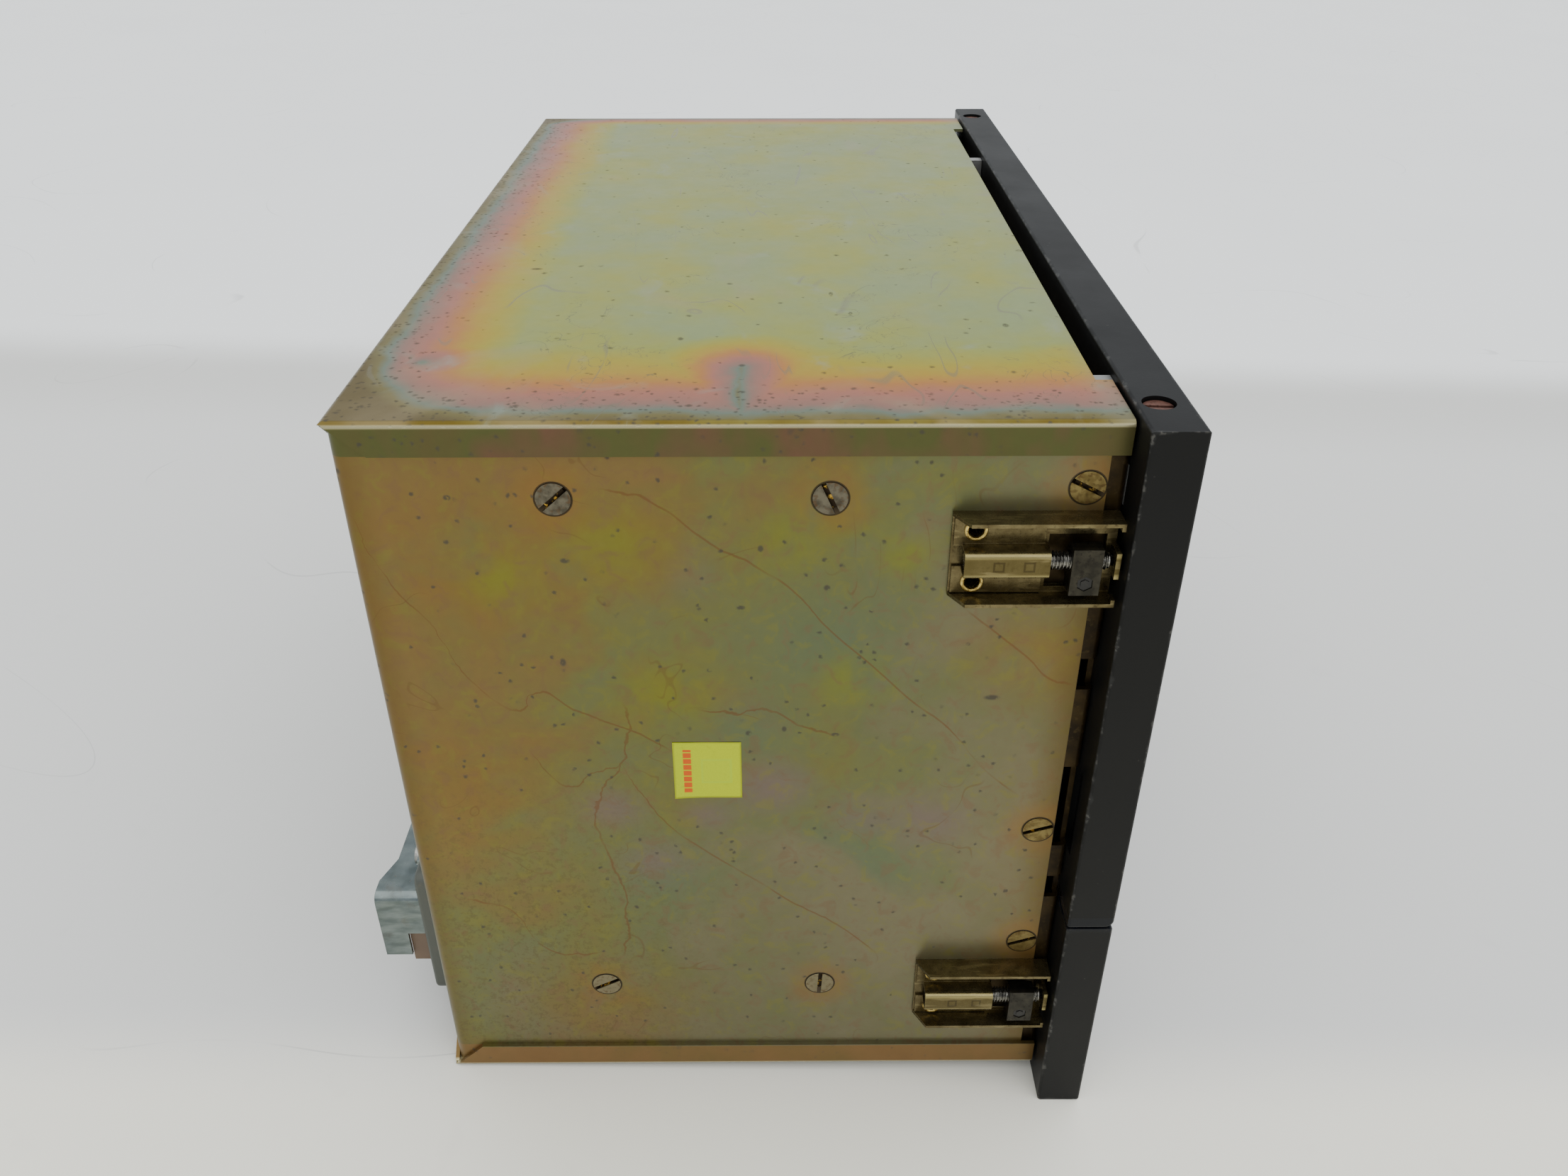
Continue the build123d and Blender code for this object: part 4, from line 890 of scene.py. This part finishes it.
def rectangle(left, bottom, right, top):
    """A rectangle's four corners, in order."""
    return [(left, bottom), (right, bottom), (right, top), (left, top)]


def on_front(u, v, level):
    """Places an outline across the front: u is +X, v is +Z, level is how far forward."""
    return u, -level, v


def tidy_mesh(mesh):
    """Merges a mesh's doubles and turns its faces outwards."""
    shape = bmesh.new()
    shape.from_mesh(mesh)
    bmesh.ops.remove_doubles(shape, verts=shape.verts, dist=1e-7)
    bmesh.ops.recalc_face_normals(shape, faces=shape.faces)
    shape.to_mesh(mesh)
    shape.free()


def softened(node, width_mm, finish, body="case", segments=3, angle=40):
    """A merged copy of a CAD node whose sharp edges are rounded by width_mm."""
    shape = bmesh.new()
    shape.from_mesh(NODES[node].data)
    bmesh.ops.remove_doubles(shape, verts=shape.verts, dist=1e-6)
    bmesh.ops.dissolve_limit(
        shape, angle_limit=math.radians(0.5), verts=shape.verts, edges=shape.edges
    )
    mesh = bpy.data.meshes.new(node + "_rounded")
    shape.to_mesh(mesh)
    shape.free()
    if "custom_normal" in mesh.attributes:
        mesh.attributes.remove(mesh.attributes["custom_normal"])
    mesh.polygons.foreach_set("use_smooth", np.ones(len(mesh.polygons), bool))
    mesh.materials.clear()
    mesh.materials.append(finish)
    piece = placed(node + "_rounded", mesh)
    rounding = piece.modifiers.new("rounded edges", "BEVEL")
    rounding.width = width_mm * MM
    rounding.segments = segments
    rounding.limit_method = "ANGLE"
    rounding.angle_limit = math.radians(angle)
    rounding.harden_normals = True
    rounding.use_clamp_overlap = True
    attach(piece, body)
    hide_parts(node)
    return piece


def dress(finish, *names):
    """Gives CAD nodes a new material in place of the one they came with."""
    for name in names:
        if name not in NODES:
            raise RuntimeError(f"there is no part named {name}")
        materials = NODES[name].data.materials
        materials.clear()
        materials.append(finish)


# ---------------------------------------------------------------- settings
class COUNTER_PG_sizes(bpy.types.PropertyGroup):
    """Sizes of the fine parts."""

    sheet_rounding: bpy.props.FloatProperty(
        name="Bracket rounding", description="Radius on the clamp brackets' cut edges",
        default=0.00025, unit="LENGTH",
    )
    bridge_rounding: bpy.props.FloatProperty(
        name="Bridge rounding", description="Radius on the clamp bridges' cut edges",
        default=0.00012, unit="LENGTH",
    )
    jaw_rounding: bpy.props.FloatProperty(
        name="Jaw rounding", description="Radius on the clamp jaws' edges",
        default=0.00035, unit="LENGTH",
    )
    thread_pitch: bpy.props.FloatProperty(
        name="Thread pitch", description="Distance between the clamp screws' threads",
        default=0.0007, unit="LENGTH",
    )
    label_lift: bpy.props.FloatProperty(
        name="Label lift", description="How far the label's loose corner stands off the case",
        default=0.0004, unit="LENGTH",
    )


class COUNTER_PG_colours(bpy.types.PropertyGroup):
    """Colours a user would change."""

    paint: bpy.props.FloatVectorProperty(
        name="Bezel paint", description="Charcoal paint of the front frames",
        default=(0.0082, 0.0084, 0.0088, 1.0), size=4, subtype="COLOR",
    )
    window: bpy.props.FloatVectorProperty(
        name="Window", description="Tint of the display window",
        default=(0.045, 0.003, 0.003, 1.0), size=4, subtype="COLOR",
    )
    label: bpy.props.FloatVectorProperty(
        name="Label", description="Fluorescent paper of the inspection label",
        default=(0.40, 0.47, 0.0, 1.0), size=4, subtype="COLOR",
    )
    keys: bpy.props.FloatVectorProperty(
        name="Keys", description="Moulded plastic of the two push keys",
        default=(0.42, 0.42, 0.39, 1.0), size=4, subtype="COLOR",
    )
    power: bpy.props.FloatVectorProperty(
        name="Power key", description="Moulded plastic of the power key",
        default=(0.42, 0.03, 0.02, 1.0), size=4, subtype="COLOR",
    )


# ---------------------------------------------------------------- operators
class Build:
    """What every operator of the counter shares."""

    bl_options = {"REGISTER"}

    def execute(self, context):
        self.build(context.scene.counter_sizes, context.scene.counter_colours)
        return {"FINISHED"}


class COUNTER_OT_case(Build, bpy.types.Operator):
    """Case wrap, covers, front frame, rails and chassis plate in yellow chromate"""

    bl_idname = "counter.case"
    bl_label = "Chromated case"

    def build(self, sizes, colours):
        dress(sheet_chromate(), "case_wrap", "top_cover", "bottom_cover")
        # Painted shade: the front frame, rails and chassis plate get a chromate darkened far below
        # the case's, for the shade in the gap behind the bezel
        inner = plain_chromate("shade_darkened_inner_chromate", tone(38, 28, 13), tone(62, 48, 22), 0.7, 0.45, 5)
        dress(inner, "front_frame", "upper_rails", "lower_rails", "chassis_plate")


class COUNTER_OT_bezel(Build, bpy.types.Operator):
    """The two front frames in worn charcoal paint, with their fixings"""

    bl_idname = "counter.bezel"
    bl_label = "Front frames"

    def build(self, sizes, colours):
        dress(bezel_paint(tuple(colours.paint)), "upper_bezel", "lower_bezel")
        dress(casting("fixing_metal", tone(150, 150, 148), 0.7, 0.4), "bezel_lugs", "bezel_spacers")
        rusty = steel(
            "rusted_screw", tone(74, 46, 38), tone(110, 74, 62), 0.5, 0.55, 0.7, (44, 24, 20), 1.6
        )
        dress(rusty, "bezel_screws")


class COUNTER_OT_clamps(Build, bpy.types.Operator):
    """Brackets and bridges of the four panel clamps, with rounded folds"""

    bl_idname = "counter.clamps"
    bl_label = "Clamp brackets"

    def build(self, sizes, colours):
        finish = clamp_chromate()
        for place in PLACES:
            softened(f"{place}_bracket", sizes.sheet_rounding / MM, finish)
        softened("clamp_bridges", sizes.bridge_rounding / MM, finish, segments=2)


class COUNTER_OT_eyelets(Build, bpy.types.Operator):
    """Brass eyelets with rolled rims that hold the clamps to the case"""

    bl_idname = "counter.eyelets"
    bl_label = "Eyelets"

    def build(self, sizes, colours):
        high = box_mm("clamp_eyelets")[1]
        rim_r, barrel_r, bore_r, roll_r, back = 2.4, 1.85, 1.5, 0.45, 0.5
        root_x, apart_z = WRAP_X - 1.0, 5.95
        y = high[1] - rim_r
        seat = high[0] - back - root_x
        # Rim = half a circle of roll_r over the seat, from the bore to the rim's edge
        bend = np.linspace(np.pi, 0, 9)
        middle_r, rise = bore_r + roll_r, seat + 0.12
        roll = np.stack([middle_r + roll_r * np.cos(bend), rise + roll_r * np.sin(bend)], -1)
        profile = [
            (bore_r, -back), *roll, (rim_r, seat), (barrel_r, seat), (barrel_r, 0), (rim_r, 0),
            (rim_r, -back),
        ]
        parts = []
        for side in SIDES.values():
            for axis_z in (UPPER_AXIS_Z, LOWER_AXIS_Z):
                for dz in (-apart_z, apart_z):
                    centre = np.array([side * root_x, y, axis_z + dz])
                    parts.append(turned(profile, centre, (side, 0, 0), 28, closed=True))
        finish = steel(
            "eyelet_brass", tone(128, 104, 52), tone(206, 184, 112), 0.26, 0.95, 0.5,
            (60, 48, 24), 1.2,
        )
        new_piece("eyelets", *merged(parts), finish, "brass", replaced=("clamp_eyelets",))


class COUNTER_OT_spindles(Build, bpy.types.Operator):
    """Threaded clamp screws, each with a journal in front and a chamfered rear end"""

    bl_idname = "counter.spindles"
    bl_label = "Clamp screws"

    def build(self, sizes, colours):
        finish = steel(
            "thread_steel", tone(70, 68, 64), tone(156, 154, 148), 0.22, 0.95, 0.4,
            (16, 14, 12), 1.5,
        )
        pitch = sizes.thread_pitch / MM
        journal_r, journal_length, columns = 1.2, 1.8, 24
        turn = np.linspace(0, 2 * np.pi, columns, endpoint=False)
        for place in PLACES:
            low, high = box_mm(f"{place}_spindle")
            centre = (low + high) / 2
            start, end = low[1] + journal_length, high[1]
            along = np.linspace(start, end, int((end - start) / pitch * 8))
            # Radius = mean + depth * cos(turns along the thread), run out at both ends
            phase = along[:, None] / pitch * 2 * np.pi - turn[None]
            run_out = np.clip(np.minimum(along - start, end - along) / 0.8, 0, 1)[:, None]
            radius = 1.62 + 0.13 * run_out + 0.24 * np.cos(phase) * run_out
            rings = np.concatenate([np.full((2, columns), journal_r), radius])
            levels = np.concatenate([[low[1], start], along])
            x = centre[0] + rings * np.cos(turn)
            z = centre[2] + rings * np.sin(turn)
            y = np.broadcast_to(levels[:, None], rings.shape)
            points = np.stack([x, y, z], -1).reshape(-1, 3) * MM
            faces = capped_faces(len(levels), columns)
            body = f"{place}_spindle"
            new_piece(f"{place}_screw", points, faces, finish, "dark_steel", body, (body,))


class COUNTER_OT_jaws(Build, bpy.types.Operator):
    """Clamp jaws with eased edges and the six-sided pin in each face"""

    bl_idname = "counter.jaws"
    bl_label = "Clamp jaws"

    def build(self, sizes, colours):
        finish = jaw_steel()
        pin_finish = steel(
            "pin_steel", tone(10, 10, 10), tone(24, 22, 20), 0.4, 0.3, 0.4, (10, 9, 8), 1.0
        )
        turn = np.radians(np.arange(0, 360, 60) + 30)
        hexagon = np.stack([np.cos(turn), np.sin(turn)], -1)
        # Each of the pin's two steps: radius across its corners, then its bottom and top
        steps = ((1.62, 0.75, 0.2), (0.95, 0.6, 0.03))
        for place in PLACES:
            node = f"{place}_jaw"
            softened(node, sizes.jaw_rounding / MM, finish, node)
            low, high = box_mm(node)
            side = SIDES[place.split("_")[0]]
            face = high[0] if side > 0 else -low[0]
            y, z = (low[1] + high[1]) / 2, low[2] + 2.7
            parts = []
            for radius, bottom, top in steps:
                outline = hexagon * radius + (y, z)

                def across(u, v, level, side=side, face=face):
                    return side * (face - level), u, v

                parts.append(slab(outline, bottom, top, across))
            new_piece(f"{place}_pin", *merged(parts), pin_finish, "dark_steel", node, smooth=False)


class COUNTER_OT_screws(Build, bpy.types.Operator):
    """Countersunk screws along the sides and the cheese heads on the hood"""

    bl_idname = "counter.screws"
    bl_label = "Screws"

    def build(self, sizes, colours):
        softened("side_screws", 0.12, screw_finish(), segments=2)
        plated = steel(
            "hood_screw_metal", tone(120, 120, 116), tone(176, 176, 170), 0.32, 0.95, 0.4
        )
        softened("hood_screws", 0.15, plated, segments=2)


class COUNTER_OT_label(Build, bpy.types.Operator):
    """Fluorescent inspection label with one loose corner"""

    bl_idname = "counter.label"
    bl_label = "Inspection label"

    def build(self, sizes, colours):
        low, high = box_mm("inspection_sticker")
        count = 24
        u, v = np.meshgrid(np.linspace(0, 1, count), np.linspace(0, 1, count), indexing="ij")
        # Lift = 0.03 mm of ripple, plus lift * (distance past the loose corner's fold) squared
        fold = np.clip((1 - u) + (1 - v) - 1.6, 0, None) / 0.4
        ripple = 0.03 * (1 + np.sin(u * 9) * np.cos(v * 7))
        lift = 0.05 + ripple + sizes.label_lift / MM * fold**2
        y = high[1] - u * (high[1] - low[1])
        z = low[2] + v * (high[2] - low[2])
        points = np.stack([-WRAP_X - lift, y, z], -1).reshape(-1, 3) * MM
        index = np.arange(count * count).reshape(count, count)
        faces = np.stack([index[:-1, :-1], index[1:, :-1], index[1:, 1:], index[:-1, 1:]], -1)
        paper = sticker_paper(tuple(colours.label))
        piece = new_piece(
            "inspection_label", points, faces.reshape(-1, 4).tolist(), paper,
            "sticker_yellow", replaced=("inspection_sticker",), closed=False,
        )
        wall = piece.modifiers.new("paper thickness", "SOLIDIFY")
        wall.thickness = 0.00006
        wall.offset = 0.0


class COUNTER_OT_rear(Build, bpy.types.Operator):
    """Rear hood of bright zinc, the connector's casting, its brown insert and contacts"""

    bl_idname = "counter.rear"
    bl_label = "Rear connector"

    def build(self, sizes, colours):
        softened("rear_hood", 0.3, zinc_sheet(), segments=2)
        grey = casting("connector_casting", tone(76, 79, 73))
        softened("connector_frame", 0.5, grey)
        dress(moulding("brown_phenolic", tone(98, 78, 60), 0.5, 0.4, 0.03, 0.5), "connector_body")
        contacts = steel("contact_metal", tone(150, 130, 78), tone(206, 188, 130), 0.28, 0.95, 0.3)
        dress(contacts, "connector_pins")


class COUNTER_OT_display(Build, bpy.types.Operator):
    """Tinted window, gasket, mask and the seven-segment digits behind them"""

    bl_idname = "counter.display"
    bl_label = "Display"

    def build(self, sizes, colours):
        softened("display_window", 0.3, window_plastic(tuple(colours.window)))
        dress(moulding("gasket_rubber", tone(34, 34, 34), 0.7, 0.6, 0.03), "window_gasket")
        dress(moulding("mask_paint", tone(26, 26, 27), 0.62, 2.0, 0.01), "display_mask")
        dress(moulding("digit_body", tone(60, 22, 20), 0.4, 0.5, 0.01), "digit_modules")
        low, high = box_mm("digit_modules")
        centre_z = (low[2] + high[2]) / 2
        digits, half_module, half_w, half_h, bar, gap = 7, 12.0, 5.6, 11.0, 1.5, 0.3
        pitch = (high[0] - low[0] - 2 * half_module) / (digits - 1)
        levels = (-low[1], -low[1] + 0.35)

        def segment(reach):
            """A bar with pointed ends, as (along, across) points out to reach on both sides."""
            tip = reach - bar
            return np.array(
                [(-reach, 0), (-tip, bar), (tip, bar), (reach, 0), (tip, -bar), (-tip, -bar)]
            )

        across, upright = segment(half_w - gap), segment(half_h / 2 - gap)[:, ::-1]
        places = [(across, 0, dz) for dz in (-half_h, 0, half_h)]
        rows = (-half_h / 2, half_h / 2)
        places += [(upright, dx, dz) for dx in (-half_w, half_w) for dz in rows]
        turn = np.radians(np.arange(0, 360, 30))
        dot = np.stack([np.cos(turn), np.sin(turn)], -1) * 1.3
        lean, left, dot_x, dot_z = 0.12, 0.8, 7.4, -half_h - 0.6
        parts = []
        for digit in range(digits):
            x = low[0] + half_module + digit * pitch
            for outline, dx, dz in places:
                shape = outline + (dx, dz)
                shape[:, 0] += shape[:, 1] * lean + x - left
                shape[:, 1] += centre_z
                parts.append(slab(shape, *levels, on_front))
            parts.append(slab(dot + (x + dot_x, centre_z + dot_z), *levels, on_front))
        glow = moulding("segment_plastic", tone(236, 120, 96), 0.3, 0.5, 0.01, 0.3)
        new_piece("digit_segments", *merged(parts), glow, "digit_housing", smooth=False)


class COUNTER_OT_controls(Build, bpy.types.Operator):
    """Control strip: fascia, keys, power key, knob with its pointer, and input socket"""

    bl_idname = "counter.controls"
    bl_label = "Controls"

    def build(self, sizes, colours):
        dress(brushed("fascia_plate", tone(142, 144, 146), tone(164, 166, 168)), "control_panel")
        keys = moulding("key_plastic", tuple(colours.keys), 0.34, 0.6, 0.01)
        for name, body in (("hold_button", "hold_key"), ("reset_button", "reset_key")):
            softened(name, 0.4, keys, body)
        power = moulding("power_key_plastic", tuple(colours.power), 0.3, 0.6, 0.01)
        softened("power_button", 0.3, power, "power_key")
        black = moulding("black_moulding", tone(34, 34, 35), 0.45, 0.5, 0.02)
        dress(black, "button_bank", "power_switch")
        along_y = (1, 0.1, 1)
        grey = brushed("switch_plating", tone(140, 140, 138), tone(180, 180, 176), along_y)
        dress(grey, "gate_switch")
        warm = brushed("shaft_plating", tone(168, 156, 118), tone(200, 190, 150), along_y)
        dress(warm, "gate_shaft")
        nickel = steel("socket_nickel", tone(150, 148, 142), tone(205, 202, 194), 0.22, 0.98, 0.25)
        softened("bnc_socket", 0.25, nickel, segments=2)
        dress(moulding("socket_insulator", tone(226, 224, 214), 0.35, 0.5, 0.01), "bnc_core")
        low, high = box_mm("gate_knob")
        x, z, front = (low[0] + high[0]) / 2, (low[2] + high[2]) / 2, -low[1]
        self.knob(black, low, high)
        white = moulding("mark_white", tone(226, 224, 216), 0.5, 0.4, 0.01)
        pointer = rectangle(x - 0.6, z + 6.6, x + 0.6, z + 9.0)
        new_piece(
            "knob_pointer", *slab(pointer, front - 0.5, front, on_front), white,
            "grey_key", "gate_control", smooth=False,
        )
        cap = [(0.01, 0), (6.2, 0), (6.2, 0.35), (5.8, 0.5), (0.01, 0.5)]
        disc = turned(cap, np.array([x, -front + 0.75, z]), (0, -1, 0), 48)
        spun = brushed("knob_disc", tone(150, 150, 150), tone(196, 196, 196), (1, 1, 1), 0.25)
        new_piece("knob_cap", *disc, spun, "switch_metal", "gate_control")
        self.marks(white, x, z)

    def knob(self, finish, low, high):
        """Knob: a turned profile, where radius = profile - depth * max(0, cos(flutes t)) ** 0.6."""
        outer, length, columns = (high[0] - low[0]) / 2, high[1] - low[1], 240
        flutes, depth = 24, 0.55
        profile = np.array([
            (0.01, 0.7), (6.3, 0.7), (6.3, 0.15), (6.5, 0.1), (outer - 1, 0.1), (outer - 0.35, 0.3),
            (outer, 1.0), (outer, 1.9), (outer, 2.2), (outer, length - 0.3), (outer - 0.3, length),
            (0.01, length),
        ])
        turn = np.linspace(0, 2 * np.pi, columns, endpoint=False)
        fluted = (profile[:, 0] > outer - 0.1) & (profile[:, 1] > 2)
        flute = depth * np.clip(np.cos(flutes * turn), 0, None) ** 0.6
        radius = profile[:, :1] - fluted[:, None] * flute
        points = np.stack([
            (low[0] + high[0]) / 2 + radius * np.cos(turn),
            np.broadcast_to(low[1] + profile[:, 1:], radius.shape),
            (low[2] + high[2]) / 2 + radius * np.sin(turn),
        ], -1).reshape(-1, 3) * MM
        new_piece(
            "fluted_knob", points, capped_faces(len(profile), columns), finish,
            "black_plastic", "gate_control", ("gate_knob",),
        )

    def marks(self, white, x, z):
        """Raised ticks round the knob, and lines over and under the keys and the socket."""
        panel = box_mm("control_panel")[0][1]
        levels = (-panel - 0.01, -panel + 0.08)
        near, far, half = 12.4, 15.4, 0.35
        parts = []
        for angle in np.radians(90 - np.linspace(-75, 75, 6)):
            out = np.array([np.cos(angle), np.sin(angle)])
            side = np.array([-out[1], out[0]]) * half
            ends = [out * near - side, out * near + side, out * far + side, out * far - side]
            parts.append(slab(np.array(ends) + (x, z), *levels, on_front))
        for node, reach in (("hold_button", 2.2), ("reset_button", 2.2), ("bnc_socket", 3.0)):
            low, high = box_mm(node)
            for end in (low[2] - reach, high[2] + reach):
                line = rectangle(low[0], end - 0.3, high[0], end + 0.3)
                parts.append(slab(line, *levels, on_front))
        new_piece("fascia_marks", *merged(parts), white, "grey_key", smooth=False)


class COUNTER_OT_inside(Build, bpy.types.Operator):
    """Boards, transformer, capacitors, chips and the rest of the works inside"""

    bl_idname = "counter.inside"
    bl_label = "Works inside"

    def build(self, sizes, colours):
        board = laminate("board_laminate", tone(84, 124, 62), tone(56, 92, 44))
        dress(board, "display_board", "counter_board", "supply_board")
        brass = brushed("fitting_nickel", tone(160, 150, 118), tone(206, 196, 160), (1, 1, 0.1))
        dress(brass, "display_standoffs", "board_standoffs")
        dress(lamination_steel(), "transformer_core")
        dress(moulding("winding_tape", tone(190, 160, 60), 0.35, 1.2, 0.05), "transformer_coil")
        dress(moulding("capacitor_sleeve", tone(52, 84, 140), 0.3, 2.0, 0.02), "supply_capacitors")
        dress(casting("heatsink_black", tone(40, 40, 40), 0.6, 0.5), "regulator_heatsink")
        dress(moulding("chip_moulding", tone(44, 44, 46), 0.55, 0.3, 0.02), "logic_chips")
        dress(casting("oven_can", tone(168, 168, 162), 0.8, 0.35), "crystal_oven")
        dress(ribbon_plastic(), "display_ribbon")


class COUNTER_OT_stage(Build, bpy.types.Operator):
    """Pale table, soft light from above and the camera"""

    bl_idname = "counter.stage"
    bl_label = "Stage"

    def build(self, sizes, colours):
        # Level = bezel's foot + slope * y, so the bezel's and the case's feet both stand on it
        slope, clearance = (FLOOR_Z - BEZEL_LOW[2]) / CASE_HIGH[1], 0.05
        u, v = np.meshgrid((-6000.0, 8000.0), (-7000.0, 7000.0), indexing="ij")
        level = BEZEL_LOW[2] + v * slope - clearance
        points = np.stack([u, v, level], -1).reshape(-1, 3) * MM
        mesh = bpy.data.meshes.new("table_top")
        mesh.from_pydata(points, [], [(0, 2, 3, 1)])
        mesh.materials.append(floor_paint())
        table = placed("table_top", mesh)
        self.lights()
        self.camera()

    def lights(self):
        """A wide soft ceiling overhead and an even pale sky."""
        world = bpy.data.worlds.new("soft_room")
        bpy.context.scene.world = world
        world.use_nodes = True
        sky = world.node_tree.nodes["Background"]
        sky.inputs["Color"].default_value = (0.93, 0.97, 1.0, 1.0)
        sky.inputs["Strength"].default_value = 1.02
        lamp = bpy.data.lights.new("soft_ceiling", "SUN")
        lamp.angle = math.radians(100)
        lamp.energy = 2.3
        lamp.color = (1.0, 0.985, 0.955)
        holder = placed("soft_ceiling", lamp)
        turn = Vector((0.22, 0.10, -1.0)).to_track_quat("-Z", "Y").to_matrix().to_4x4()
        holder.matrix_world = Matrix.Translation((0, 0, 1.5)) @ turn

    def camera(self):
        """The camera stands off the left rear corner, above the case, looking down."""
        lens = bpy.data.cameras.new("camera")
        lens.lens = 28.38
        lens.sensor_width = 36.0
        lens.clip_start = 0.01
        eye = placed("camera", lens)
        yaw, pitch = math.radians(-0.383), math.radians(32.08)
        # Forward = level heading at yaw from +X, tipped down by pitch
        level = math.cos(pitch)
        forward = Vector((level * math.cos(yaw), level * math.sin(yaw), -math.sin(pitch)))
        turn = forward.to_track_quat("-Z", "Y").to_matrix().to_4x4()
        eye.matrix_world = Matrix.Translation((-0.34762, 0.06796, 0.19067)) @ turn
        bpy.context.scene.camera = eye


OPERATORS = (
    COUNTER_OT_case,
    COUNTER_OT_bezel,
    COUNTER_OT_clamps,
    COUNTER_OT_eyelets,
    COUNTER_OT_spindles,
    COUNTER_OT_jaws,
    COUNTER_OT_screws,
    COUNTER_OT_label,
    COUNTER_OT_rear,
    COUNTER_OT_display,
    COUNTER_OT_controls,
    COUNTER_OT_inside,
    COUNTER_OT_stage,
)


class COUNTER_PT_panel(bpy.types.Panel):
    """Lists the counter's settings and its pieces."""

    bl_idname = "COUNTER_PT_panel"
    bl_label = "Frequency Counter"
    bl_space_type = "VIEW_3D"
    bl_region_type = "UI"
    bl_category = "Counter"

    def draw(self, context):
        for group in (context.scene.counter_sizes, context.scene.counter_colours):
            for key in group.__annotations__:
                self.layout.prop(group, key)
        for operator in OPERATORS:
            self.layout.operator(operator.bl_idname)


CLASSES = (COUNTER_PG_sizes, COUNTER_PG_colours, *OPERATORS, COUNTER_PT_panel)


def register():
    for each in CLASSES:
        bpy.utils.register_class(each)
    bpy.types.Scene.counter_sizes = bpy.props.PointerProperty(type=COUNTER_PG_sizes)
    bpy.types.Scene.counter_colours = bpy.props.PointerProperty(type=COUNTER_PG_colours)


def unregister():
    del bpy.types.Scene.counter_colours
    del bpy.types.Scene.counter_sizes
    for each in reversed(CLASSES):
        bpy.utils.unregister_class(each)


def main():
    register()
    for operator in OPERATORS:
        family, name = operator.bl_idname.split(".")
        getattr(getattr(bpy.ops, family), name)()


if __name__ == "__main__":
    main()
